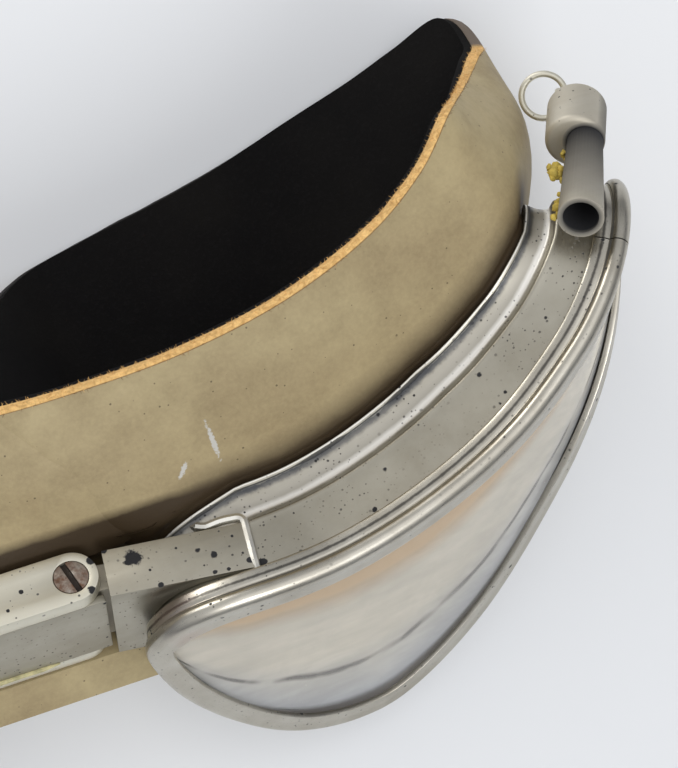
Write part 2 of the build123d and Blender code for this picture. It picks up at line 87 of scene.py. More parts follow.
place_camera()

# Curved front of the eyepiece, as in the part
LEAN = radians(27.0)
SPLAY = radians(7.5)
WALL_START = (3.5, -6.4, radians(-5.0))
BROAD_RADIUS, BROAD_LENGTH, TEMPLE_RADIUS = 77.0, 62.0, 31.0
RIM_LENGTH, RIM_HEIGHT = 87.0, 46.0
RIM_SHARES = [
    (0.045, -0.196), (0.058, -0.098), (0.100, -0.022), (0.172, 0.011), (0.310, 0.011),
    (0.460, 0.041), (0.598, 0.083), (0.713, 0.161), (0.816, 0.226), (0.920, 0.239),
    (0.983, 0.174), (1.000, 0.065), (0.954, -0.076), (0.868, -0.196), (0.776, -0.359),
    (0.690, -0.554), (0.563, -0.809), (0.425, -0.970), (0.333, -0.974), (0.230, -0.870),
    (0.144, -0.680), (0.083, -0.446),
]
FACE_SIZE = (77.0, 53.0, 50.5)
FACE_EDGE_SHARES = [
    (-0.068, 0.452, -0.099), (-0.074, 0.401, 0.050), (-0.051, 0.375, 0.131), (0.078, 0.370, 0.137),
    (0.247, 0.381, 0.137), (0.416, 0.424, 0.137), (0.565, 0.503, 0.135), (0.669, 0.600, 0.127),
    (0.744, 0.707, 0.079), (0.800, 0.762, -0.100), (0.850, 0.809, -0.288), (0.905, 0.870, -0.460),
    (0.944, 0.913, -0.612), (0.934, 1.004, -0.745), (0.850, 0.972, -0.836), (0.752, 0.932, -0.852),
    (0.622, 0.890, -0.852), (0.477, 0.836, -0.852), (0.344, 0.796, -0.852), (0.208, 0.757, -0.850),
    (0.085, 0.708, -0.800), (-0.013, 0.600, -0.500),
]
SWELL_SHARES = [
    2.0, 3.0, 2.0, 1.0, 1.0, 1.0, 1.0, 1.0, 1.4, 2.3, 3.6, 4.6, 4.2, 2.4, 0.4, -1.0,
    -1.5, -1.5, -1.1, 1.6, 1.4, 0.5,
]
SWELL = 0.8
LENS_THICKNESS, LENS_FRONT, LENS_INSET = 1.6, -0.7, 1.5
BAND_INSET, BAND_DEPTH_CORNER, BAND_DEPTH_NOSE, BAND_DEPTH_TEMPLE = 1.1, 10.3, 13.5, 10.5
CORNER_S, CORNER_Z = (5.0, 19.5), (-22.0, -10.0)
STEP_DROP, LIP_RISE, SHEET = 0.9, 0.8, 0.8
LEATHER, LINING, SEAT_GAP = 1.5, 1.1, 0.15
SPLIT_PLACE, SPLIT_WIDTH = 8.5, 0.3
WALL_SPAN = 1.5
TUBE_TOP = Vector((67.596, 20.9513, 6.9836))
TUBE_AXIS = Vector((0.406836, 0.570963, -0.713082)).normalized()
TUBE_BORE_RADIUS = 2.1

SIDES = {"right": 1, "left": -1}


def axes(x_dir, z_dir):
    """Unit x, y and z directions from a rough x and an exact z."""
    z = Vector(z_dir).normalized()
    x = Vector(x_dir)
    x = (x - z * x.dot(z)).normalized()
    return x, z.cross(x), z


EYE_X, EYE_Y, EYE_Z = axes((cos(SPLAY), -sin(SPLAY) * cos(LEAN), sin(SPLAY) * sin(LEAN)), (0, sin(LEAN), cos(LEAN)))
LINK_X, LINK_Y, LINK_Z = axes((1, 0, 0), (0, sin(LEAN), cos(LEAN)))
TUBE_X, TUBE_Y, TUBE_Z = axes((1, 0, 0), -TUBE_AXIS)


def eye_point(x, y, z):
    return Vector((PIVOT_X, 0, 0)) + EYE_X * x + EYE_Y * y + EYE_Z * z


def link_point(x, y, z):
    return LINK_X * x + LINK_Y * y + LINK_Z * z


def tube_point(radius, turn, depth):
    """Point beside the axis of the temple tube, depth down from its mouth."""
    spot = TUBE_X * cos(radians(turn)) + TUBE_Y * sin(radians(turn))
    return Vector((PIVOT_X, 0, 0)) + TUBE_TOP + spot * radius - TUBE_Z * depth


def smooth(value):
    value = min(max(value, 0), 1)
    return value * value * (3 - 2 * value)


def through(points, place):
    """Point on a smooth closed line through the points; place counts points."""
    count = len(points)
    first = int(place // 1)
    share = place - first
    before, here, after, beyond = (points[(first + k) % count] for k in (-1, 0, 1, 2))
    slope_here = (after - before) * 0.5
    slope_after = (beyond - here) * 0.5
    step = after - here
    return (here + slope_here * share + (step * 3 - slope_here * 2 - slope_after) * share ** 2
            + (slope_here + slope_after - step * 2) * share ** 3)


def wall_heading(s):
    return WALL_START[2] + min(s, BROAD_LENGTH) / BROAD_RADIUS + max(s - BROAD_LENGTH, 0) / TEMPLE_RADIUS


def wall_point(s, z, depth):
    """Point that lies depth behind the curved front, s along it and z up it."""
    x, y, start = WALL_START
    turn = start + min(s, BROAD_LENGTH) / BROAD_RADIUS
    x += BROAD_RADIUS * (sin(turn) - sin(start))
    y -= BROAD_RADIUS * (cos(turn) - cos(start))
    if s > BROAD_LENGTH:
        end = wall_heading(s)
        x += TEMPLE_RADIUS * (sin(end) - sin(turn))
        y -= TEMPLE_RADIUS * (cos(end) - cos(turn))
    turn = wall_heading(s)
    return eye_point(x - sin(turn) * depth, y + cos(turn) * depth, z)


RIM_POINTS = [Vector((s * RIM_LENGTH, z * RIM_HEIGHT)) for s, z in RIM_SHARES]
FACE_POINTS = [Vector((PIVOT_X + x * FACE_SIZE[0], y * FACE_SIZE[1], z * FACE_SIZE[2]))
               for x, y, z in FACE_EDGE_SHARES]
SWELL_POINTS = [Vector((share * SWELL, 0)) for share in SWELL_SHARES]
RIM_COUNT = len(RIM_POINTS)
STEPS_PER_POINT, TANGENT_STEP = 8, 0.05
PLACES = [index / STEPS_PER_POINT for index in range(RIM_COUNT * STEPS_PER_POINT)]


class Station:
    """Axes of the rim at one place: out of the opening, and back from the front."""

    def __init__(self, place):
        self.place = place
        spot = through(RIM_POINTS, place)
        along = (through(RIM_POINTS, place + TANGENT_STEP) - through(RIM_POINTS, place - TANGENT_STEP)).normalized()
        self.s, self.z = spot
        turn = wall_heading(self.s)
        tangent = EYE_X * cos(turn) + EYE_Y * sin(turn)
        self.back = EYE_Y * cos(turn) - EYE_X * sin(turn)
        self.out = (tangent * -along.y + EYE_Z * along.x).normalized()
        self.origin = wall_point(self.s, self.z, 0)
        share = min(max((self.s - BROAD_LENGTH * 0.8) / (RIM_LENGTH * 0.3), 0), 1)
        corner = min(max((CORNER_S[1] - self.s) / (CORNER_S[1] - CORNER_S[0]), 0), 1)
        corner *= min(max((self.z - CORNER_Z[0]) / (CORNER_Z[1] - CORNER_Z[0]), 0), 1)
        self.depth = (BAND_DEPTH_NOSE + (BAND_DEPTH_TEMPLE - BAND_DEPTH_NOSE) * share
                      + (BAND_DEPTH_CORNER - BAND_DEPTH_NOSE) * corner)

    def at(self, out, depth):
        return self.origin + self.out * out + self.back * depth


STATIONS = [Station(place) for place in PLACES]


@lru_cache(maxsize=None)
def wall_frame(place):
    """Lip point, unit chord to the face edge, unit inward direction, and the length between."""
    def ends(at):
        station = Station(at)
        lip = -BAND_INSET - STEP_DROP + LIP_RISE
        return station.at(lip, station.depth + SEAT_GAP), through(FACE_POINTS, at)

    lip_before, face_before = ends(place - WALL_SPAN)
    lip_after, face_after = ends(place + WALL_SPAN)
    lip, face = ends(place)
    chord = face - lip
    inward = chord.cross(lip_after + face_after - lip_before - face_before).normalized()
    return lip, chord.normalized(), inward, chord.length


# Mesh making
def finish_mesh(mesh_maker, name, side, material, sharp=40):
    """Object from a bmesh in part millimetres: mirrored for the left, shaded and set in the row frame."""
    for vertex in mesh_maker.verts:
        spot = vertex.co + GROUND
        vertex.co = Vector((spot.x * side, spot.y, spot.z)) * MM
    bmesh.ops.recalc_face_normals(mesh_maker, faces=mesh_maker.faces)
    for face in mesh_maker.faces:
        face.smooth = True
    limit = radians(sharp)
    for edge in mesh_maker.edges:
        edge.smooth = len(edge.link_faces) != 2 or edge.calc_face_angle(0) < limit
    mesh = bpy.data.meshes.new(name)
    mesh_maker.to_mesh(mesh)
    mesh_maker.free()
    mesh.materials.append(material)
    piece = bpy.data.objects.new(name, mesh)
    bpy.context.scene.collection.objects.link(piece)
    return piece


def tube_mesh(sections, closed=True, caps=False, ladder=None):
    """Quads through equal closed sections, with a uv in centimetres along and across, or up a given ladder."""
    maker = bmesh.new()
    uv_layer = maker.loops.layers.uv.new("UVMap")
    rows = [[maker.verts.new(spot) for spot in section] for section in sections]
    count, width = len(rows), len(rows[0])
    across = [0.0]
    for j in range(width):
        middle = rows[count // 3]
        across.append(across[-1] + (middle[(j + 1) % width].co - middle[j].co).length)
    across = ladder or across
    along = 0.0
    for i in range(count if closed else count - 1):
        here, after = rows[i], rows[(i + 1) % count]
        step = (after[0].co - here[0].co).length
        for j in range(width):
            k = (j + 1) % width
            face = maker.faces.new((here[j], here[k], after[k], after[j]))
            low, high = across[j], across[j + 1]
            spots = ((along, low), (along, high), (along + step, high), (along + step, low))
            for loop, spot in zip(face.loops, spots):
                loop[uv_layer].uv = (spot[0] / 10, spot[1] / 10)
        along += step
    if caps:
        maker.faces.new(rows[0])
        maker.faces.new(list(reversed(rows[-1])))
    return maker


def rounded(points, steps=3):
    """Closed outline made smooth through its points."""
    points = [Vector(point) for point in points]
    return [through(points, i / steps) for i in range(len(points) * steps)]


def rim_ring(profile, places=None):
    """Sections of a ring round the rim; profile gives (out, depth) spots for a station."""
    stations = STATIONS if places is None else [Station(place) for place in places]
    return [[station.at(*spot) for spot in profile(station)] for station in stations]


RIDGE_SHARE, FOOT_SHARE, RISE_SHARE = 0.64, 0.715, 0.85


def band_profile(station):
    """Outline of the metal band: flat front part, step down at the ridge, hollow, and rear lip."""
    depth = station.depth
    outer, low = -BAND_INSET, -BAND_INSET - STEP_DROP
    ridge, foot, rise = depth * RIDGE_SHARE, depth * FOOT_SHARE, depth * RISE_SHARE
    top = [
        (outer, 1.0), (outer, 2.2), (outer, ridge - 1.2), (outer + 0.06, ridge - 0.3), (outer - 0.02, ridge + 0.1),
        (outer - 0.45, ridge + 0.45), (low - 0.02, foot), (low - 0.05, (foot + rise) / 2), (low + 0.12, rise),
        (low + LIP_RISE * 0.75, depth - 0.5), (low + LIP_RISE, depth - 0.1),
    ]
    under = [
        (low + LIP_RISE - 0.3, depth), (low + 0.1, depth - 0.35), (low - SHEET, rise), (low - SHEET, foot),
        (outer - SHEET, ridge - 0.3), (outer - SHEET, 2.2), (outer - SHEET, 1.0)]
    return rounded(top + under)


# The bezel is slimmer and set back along the lower side, and its flange is narrower at the nasal end
SLIM_START, SLIM_END, SLIM_SHARE, SLIM_SET_BACK = 13.5, 21.3, 0.55, 0.35
NASAL_EASE, NASAL_REACH = 0.9, 2.2


def bezel_profile(station):
    """Outline of the bezel: flange on the glass, rounded bead, and foot behind it on the band."""
    slim = smooth((station.place - SLIM_START) / 2) * smooth((SLIM_END - station.place) / 1.5)
    half = RIM_COUNT / 2
    from_nasal_end = abs((station.place + half) % RIM_COUNT - half)
    corner = NASAL_EASE * smooth(1 - from_nasal_end / NASAL_REACH)
    front = LENS_FRONT - SEAT_GAP - SHEET + SLIM_SET_BACK * slim
    spots = [
        (-3.4 + corner, 0.15), (-3.2 + corner, 0), (-1.9, -0.02), (-1.3, -0.12), (-0.5, -0.22), (0.1, 0.02),
        (0.5, 0.45), (0.62, 0.95), (0.52, 1.45), (0.2, 1.85), (0.02, 2.05), (0.1, 2.3), (0.14, 2.7), (0.1, 3.5),
        (0.0, 3.85), (-0.2, 3.9), (-0.9, 3.85), (-0.9, 3.0), (-0.9, 0.9), (-1.5, 0.8), (-3.2 + corner, 0.8),
        (-3.4 + corner, 0.6)]
    kept = 1 - SLIM_SHARE * slim
    return rounded([(out if out < -1 else (out + 1) * kept - 1, front + depth) for out, depth in spots])


# Soft wall: rows near the metal lip, the tuck under the lip, rows beyond, slow crumple, and height of the cut edge
NEAR_LIP = [-1.0, -0.4, 0.1, 0.6, 1.1, 1.7, 2.5, 3.6]
TUCK, TUCK_REACH, WALL_STEPS, CRUMPLE = 0.7, 1.5, 12, 0.12
EDGE_BAND, EDGE_WAVE = 0.45, 0.1


def wall_spot(place, reach, depth):
    """Point of the soft wall: reach from the lip towards the face, depth below the outer surface."""
    lip, chord, inward, length = wall_frame(place)
    share = min(max(reach / length, 0), 1)
    hump = through(SWELL_POINTS, place).x * sin(pi * share)
    crumple = CRUMPLE * sin(pi * share) * noise.noise(Vector((place * 1.7, reach * 0.12, 3.0)))
    turned = TUCK * smooth(1 - max(reach, 0) / TUCK_REACH)
    return lip + chord * reach + inward * (depth - hump - crumple + turned)


def wall_section(place, depths, start, end):
    """Closed section of the soft wall between two depths; it starts under the metal lip."""
    length = wall_frame(place)[3] - end
    reaches = [reach for reach in NEAR_LIP if reach >= start]
    reaches += [reaches[-1] + (length - reaches[-1]) * (k + 1) / WALL_STEPS for k in range(WALL_STEPS)]
    outer = [wall_spot(place, reach, depths[0]) for reach in reaches]
    inner = [wall_spot(place, reach, depths[1]) for reach in reaches]
    return outer + inner[::-1]


BROWN_START, BLACK_START, DARK_END = 11.5, 12.7, 21.4


def far_tone(place):
    """0 where the cut edge is yellow, 0.5 further round, where it is brown, 1 round the far lower edge, where it is
    black.
    """
    # The tone goes from yellow to brown and then to black further round the edge
    worn = 0.5 * smooth((place - BROWN_START) / 0.6) + 0.5 * smooth((place - BLACK_START) / 0.6)
    return worn * smooth((DARK_END - place) / 0.8)


def edge_loop(base, onward, inward, wave):
    """Section of the cut edge beyond the end of the leather."""
    top = EDGE_BAND + wave
    return [
        base + inward * 0.02, base + onward * top * 0.6, base + inward * 0.2 + onward * top,
        base + inward * 0.75 + onward * (top + 0.08), base + inward * 1.3 + onward * top,
        base + inward * 1.5 + onward * top * 0.6, base + inward * 1.48]


# Nose leather: half of it, from the middle out to the wall of one face cushion. Its seam runs between two places of
# the rim, and the leather sinks under the wall there on its forward part, with one more point beyond the seam.
NOSE_SEAM, SEAM_SLOPE, LEAST_REACH = (2.05, 2.1), 0.4, 1.2
NOSE_TUCK, TUCK_START, TUCK_OVER, NOSE_SINK = 0.9, 0.5, 0.4, 0.02
BEYOND_SEAM, BEYOND_REACH, BEYOND_SINK = 0.3, 0.25, 0.15
NOSE_REAR, NOSE_FRONT = (19.9, 6.6), link_point(0, 3.65, -1.6)
NOSE_STEPS = 14
NOSE_SHARES = (0, 0.06, 0.14, 0.24, 0.36, 0.48, 0.6, 0.72, 0.84, 0.93, 1)
STRIP_HALF, STRIP_PAST_END = 20.0, 1.02
STRIP_LINE = [(3.65, -2.6), (3.65, -8.0), (3.65, -14.8), (3.3, -15.7), (2.4, -16.0), (0.0, -16.0), (-3.15, -16.0)]
STRIP_LIP = Vector((0, -14.2, -16.2))


def nose_row(share):
    """Points across the nose leather at a share of the way from its rear edge to the bridge."""
    place = NOSE_SEAM[0] + (NOSE_SEAM[1] - NOSE_SEAM[0]) * share
    reach = max((wall_frame(place)[3] - EDGE_BAND) * (1 - share), LEAST_REACH)
    under = NOSE_SINK + NOSE_TUCK * smooth((share - TUCK_START) / TUCK_OVER)
    seam = wall_spot(place, reach, under)
    leave = (seam - wall_spot(place + SEAM_SLOPE, reach, under)).normalized()
    centre = Vector((0, NOSE_REAR[0] - EDGE_BAND + (NOSE_FRONT.y - NOSE_REAR[0] + EDGE_BAND) * share,
                     NOSE_REAR[1] + (NOSE_FRONT.z - NOSE_REAR[1]) * share))
    handle = (seam - centre).length / 3
    bends = (centre, centre + Vector((handle, 0, 0)), seam + leave * handle, seam)
    row = []
    for step in range(NOSE_STEPS + 1):
        t = step / NOSE_STEPS
        shares = ((1 - t) ** 3, 3 * t * (1 - t) ** 2, 3 * t * t * (1 - t), t ** 3)
        row.append(sum((bend * weight for bend, weight in zip(bends, shares)), Vector()))
    beyond = place + BEYOND_SEAM
    reach = max((wall_frame(beyond)[3] - EDGE_BAND) * (1 - share) - BEYOND_REACH, LEAST_REACH)
    row.append(wall_spot(beyond, reach, under + BEYOND_SINK))
    return row


def strip_row(spot):
    """Straight row across the strip behind and under the bridge."""
    shares = [step / NOSE_STEPS for step in range(NOSE_STEPS + 1)] + [STRIP_PAST_END]
    return [Vector((STRIP_HALF * share, spot.y, spot.z)) for share in shares]


def nose_rows():
    """Grid of points from the rear edge, over the nose, and round under the bridge to the lip in front."""
    rows = [nose_row(share) for share in NOSE_SHARES]
    rows += [strip_row(link_point(0, y, z)) for y, z in STRIP_LINE]
    last = link_point(0, *STRIP_LINE[-1])
    rows += [strip_row(last + (STRIP_LIP - last) * share) for share in (0.5, 0.9, 1)]
    return rows


def row_normals(rows):
    """Outward unit directions of a grid whose rows run across and follow each other forwards."""
    result = []
    for r in range(len(rows)):
        before, after = rows[max(r - 1, 0)], rows[min(r + 1, len(rows) - 1)]
        line = []
        for c in range(len(rows[r])):
            across = rows[r][min(c + 1, NOSE_STEPS)] - rows[r][max(min(c, NOSE_STEPS) - 1, 0)]
            line.append((after[c] - before[c]).cross(across).normalized())
        result.append(line)
    return result


def nose_layer(rows, normals, top, bottom):
    """Closed sections across the nose leather between two depths under its outer surface."""
    sections = []
    for row, line in zip(rows, normals):
        outer = [spot - normal * top for spot, normal in zip(row, line)]
        inner = [spot - normal * bottom for spot, normal in zip(row, line)]
        sections.append(outer + inner[::-1])
    return sections


WIRE_SIDES, WIRE_END = 8, 0.35


def wire_mesh(path, radius, up=Vector((0, 0, 1))):
    """Round bar along a path, with its ends drawn in."""
    sections = []
    for i, spot in enumerate(path):
        along = (path[min(i + 1, len(path) - 1)] - path[max(i - 1, 0)]).normalized()
        first = along.cross(up).normalized()
        second = along.cross(first)
        reach = radius * (WIRE_END if i in (0, len(path) - 1) else 1)
        turns = [2 * pi * k / WIRE_SIDES for k in range(WIRE_SIDES)]
        sections.append([spot + first * cos(t) * reach + second * sin(t) * reach for t in turns])
    return tube_mesh(sections, closed=False, caps=True)


def crumb_mesh(lumps):
    """Small broken lumps, each (centre, radius)."""
    maker = bmesh.new()
    for index, (centre, radius) in enumerate(lumps):
        made = bmesh.ops.create_icosphere(maker, subdivisions=2, radius=radius)["verts"]
        for vertex in made:
            rough = noise.noise(vertex.co * (1.6 / radius) + Vector((index * 7.3, 0, 0)))
            vertex.co = vertex.co * (1 + 0.5 * rough) + centre
    return maker


# Materials
def make(tree, kind, settings=None, **values):
    """Node with settings and inputs; an input is a value or the socket that feeds it."""
    node = tree.nodes.new(kind)
    for key, value in (settings or {}).items():
        setattr(node, key, value)
    for key, value in values.items():
        socket = node.inputs[int(key[1:])] if key[1:].isdigit() else node.inputs[key.replace("_", " ")]
        if isinstance(value, bpy.types.NodeSocket):
            tree.links.new(value, socket)
        else:
            socket.default_value = value
    return node


def blank(name):
    """New material and its empty node tree."""
    material = bpy.data.materials.new(name)
    material.use_nodes = True
    material.node_tree.nodes.clear()
    return material, material.node_tree


def surface(tree, shader):
    """Join a shader to the output of its material."""
    output = tree.nodes.new("ShaderNodeOutputMaterial")
    tree.links.new(shader, output.inputs["Surface"])


def coordinates(tree, source="Object", scale=(1, 1, 1), turn=(0, 0, 0)):
    spots = make(tree, "ShaderNodeTexCoord").outputs[source]
    return make(tree, "ShaderNodeMapping", Vector=spots, Scale=scale, Rotation=turn).outputs[0]


def noise_of(tree, spots, scale, detail=4, roughness=0.5, distortion=0.0):
    return make(tree, "ShaderNodeTexNoise", Vector=spots, Scale=scale, Detail=detail, Roughness=roughness,
                Distortion=distortion).outputs[0]


def ramp(tree, value, *stops):
    """Colour ramp; each stop is (place, grey or colour)."""
    node = make(tree, "ShaderNodeValToRGB", Fac=value)
    elements = node.color_ramp.elements
    while len(elements) < len(stops):
        elements.new(0.5)
    for element, (place, colour) in zip(elements, stops):
        element.position = place
        element.color = (*colour, 1) if isinstance(colour, tuple) else (colour, colour, colour, 1)
    return node.outputs[0]


def mixed(tree, share, first, second):
    """Colour that goes from the first to the second as the share grows."""
    node = make(tree, "ShaderNodeMix", {"data_type": "RGBA", "blend_type": "MIX"})
    for socket, value in ((node.inputs[0], share), (node.inputs[6], first), (node.inputs[7], second)):
        if isinstance(value, bpy.types.NodeSocket):
            tree.links.new(value, socket)
        elif isinstance(value, tuple):
            socket.default_value = (*value, 1)
        else:
            socket.default_value = value
    return node.outputs[2]


def maths(tree, how, first, second=0.0, clamp=False):
    return make(tree, "ShaderNodeMath", {"operation": how, "use_clamp": clamp}, _0=first, _1=second).outputs[0]


def plus(tree, first, second, clamp=False):
    return maths(tree, "ADD", first, second, clamp)


def minus(tree, first, second):
    return maths(tree, "SUBTRACT", first, second)


def times(tree, first, second, clamp=False):
    return maths(tree, "MULTIPLY", first, second, clamp)


def parted(tree, first, second):
    return maths(tree, "DIVIDE", first, second)


def most(tree, first, second):
    return maths(tree, "MAXIMUM", first, second)


def vector_maths(tree, how, first, second=(0, 0, 0)):
    """Vector sum, or the number that a length, distance or dot product gives."""
    node = make(tree, "ShaderNodeVectorMath", {"operation": how}, _0=first, _1=second)
    return node.outputs["Value" if how in ("LENGTH", "DISTANCE", "DOT_PRODUCT") else "Vector"]


def wobble(tree, value, grain, size):
    """Value moved up and down by a share of the grain."""
    return plus(tree, value, times(tree, minus(tree, grain, 0.5), size))


def apart(tree, value, place):
    """How far a value is from a place, either way."""
    return maths(tree, "ABSOLUTE", minus(tree, value, place))


def axis_of(tree, spots, index):
    return make(tree, "ShaderNodeSeparateXYZ", Vector=spots).outputs[index]


def toned(tint, share):
    """A darker or paler colour of the same kind."""
    return tuple(min(channel * share, 1) for channel in tint)


def spread_over(tree, value, low, high, **given):
    return make(tree, "ShaderNodeMapRange", Value=value, To_Min=low, To_Max=high, **given).outputs[0]


def bumped(tree, height, strength, distance):
    return make(tree, "ShaderNodeBump", Height=height, Strength=strength, Distance=distance).outputs[0]


def paint(tree, level=None, **inputs):
    """Principled shader that covers the whole surface; level is its steady specular level."""
    shader = make(tree, "ShaderNodeBsdfPrincipled", **inputs)
    if level is not None:
        shader.inputs["Specular IOR Level"].default_value = level
    surface(tree, shader.outputs[0])


def near(tree, spots, centre, radius, ragged):
    """1 inside a ragged blot round a centre in metres, 0 outside."""
    gap = vector_maths(tree, "DISTANCE", spots, centre)
    wavy = plus(tree, parted(tree, gap, radius), times(tree, ragged, 1.3))
    return ramp(tree, minus(tree, wavy, 0.65), (0.78, 1.0), (0.98, 0.0))


def dots_of(tree, spots, scale, share, size, ragged):
    """Scattered small pits: a share of the cells of a grid hold one ragged dot each."""
    cells = make(tree, "ShaderNodeTexVoronoi", {"feature": "F1"}, Vector=spots, Scale=scale, Randomness=1.0)
    parts = make(tree, "ShaderNodeSeparateColor", Color=cells.outputs["Color"])
    picked = ramp(tree, parts.outputs[0], (1 - share, 0.0), (min(1.002 - share, 1.0), 1.0))
    reach = parted(tree, cells.outputs["Distance"], plus(tree, 0.35, parts.outputs[1]))
    reach = wobble(tree, reach, ragged, size)
    return times(tree, ramp(tree, reach, (size * 0.75, 1.0), (size * 1.25, 0.0)), picked)


TARNISH, PIT_BLACK = (0.60, 0.56, 0.50), (0.02, 0.02, 0.022)


def nickel(name, tint, brush="Object", brush_turn=(0, 0, 0), brush_scale=(60, 900, 60), pits=1.0, blots=(),
           roughness=0.36, stain=0.7, grooves=(), streaks=(), worn=(), blush=None, hollow=None, grain=1.0):
    """Worn nickel plate: fine brushing, cloudy tarnish, small black pits and placed blots.

    Grooves, streaks and worn lines lie at a place across the uv: strips of painted shade, pale strips of painted
    highlight that keep their brightness, and flaking ones. Blush is one coloured glow, and hollow gives painted shade
    in bores.
    """
    material, tree = blank(name)
    spots = coordinates(tree)
    lines = noise_of(tree, coordinates(tree, brush, brush_scale, brush_turn), 1.0, 3, 0.6)
    cloud = noise_of(tree, spots, 140, 5, 0.6)
    broad = noise_of(tree, spots, 45, 3, 0.5)
    ragged = noise_of(tree, spots, 2300, 2, 0.6)
    patch = ramp(tree, noise_of(tree, spots, 120, 2, 0.5), (0.42, 0.25), (0.6, 1.0))
    dark = dots_of(tree, spots, 430, 0.34 * pits, 0.10, ragged)
    small = times(tree, dots_of(tree, spots, 900, 0.42 * pits, 0.14, ragged), patch)
    tiny = times(tree, dots_of(tree, spots, 1900, 0.6 * pits, 0.2, ragged), times(tree, patch, 0.85))
    dark = most(tree, most(tree, dark, small), tiny)
    coarse = noise_of(tree, spots, 1300, 3, 0.6)
    for centre, radius in blots:
        dark = most(tree, dark, near(tree, spots, centre, radius, coarse))
    tarnish = tuple(channel * share for channel, share in zip(tint, TARNISH))
    colour = mixed(tree, ramp(tree, cloud, (0.35, 0.0), (0.75, stain)), tint, tarnish)
    colour = mixed(tree, ramp(tree, broad, (0.4, 0.0), (0.7, 0.35)), colour, toned(tint, 0.78))
    colour = mixed(tree, times(tree, lines, 0.35 * grain), colour, toned(tint, 1.15))
    across = axis_of(tree, coordinates(tree, "UV"), 1)
    # Painted shade in grooves and under the lip
    for place, width, strength, shade in grooves:
        gap = wobble(tree, apart(tree, across, place), coarse, width)
        colour = mixed(tree, ramp(tree, parted(tree, gap, width), (0.3, strength), (1.0, 0.0)), colour, shade)
    pale = 0.0
    # Painted highlights: pale strips with less metal, so they stay bright under any light
    for place, width, strength, shade in streaks:
        gap = wobble(tree, apart(tree, across, place), cloud, width)
        highlight = ramp(tree, parted(tree, gap, width), (0.25, strength), (1.0, 0.0))
        colour = mixed(tree, highlight, colour, shade)
        pale = most(tree, pale, highlight)
    for place, width in worn:
        gap = parted(tree, apart(tree, across, place), width)
        flake = ramp(tree, minus(tree, plus(tree, coarse, patch), gap), (0.42, 0.0), (0.5, 1.0))
        dark = most(tree, dark, times(tree, flake, 0.75))
    if blush:
        centre, radius, shade = blush
        gap = vector_maths(tree, "DISTANCE", spots, centre)
        colour = mixed(tree, ramp(tree, parted(tree, gap, radius), (0.2, 0.75), (1.0, 0.0)), colour, shade)
    # Painted shade in hollows such as the bore of a temple tube
    if hollow:
        dark = most(tree, dark, hollow(tree, spots))
    colour = mixed(tree, dark, colour, PIT_BLACK)
    rough = spread_over(tree, lines, roughness - 0.06, roughness + 0.12, From_Min=0.3, From_Max=0.7)
    dull = most(tree, times(tree, dark, 0.9), times(tree, pale, 0.7))
    height = minus(tree, times(tree, lines, 0.25 * grain), dark)
    paint(tree, Base_Color=colour, Roughness=plus(tree, rough, times(tree, dark, 0.4), True),
          Metallic=minus(tree, 1.0, dull), Normal=bumped(tree, height, 0.3, 0.00008))
    return material


# Painted shadow on the leather behind the bridge: where it starts behind the link, how far it reaches, and how low
SHADOW_START, SHADOW_REACH, SHADOW_LOW, SHADOW_FADE = 2.9, 3.0, -9.0, 4.0
# The first colour is the brown of the painted shadow on the leather
SHADOW_BROWN, SPECK, SCRATCH_PALE = (0.045, 0.028, 0.012), (0.045, 0.03, 0.015), (0.62, 0.62, 0.60)


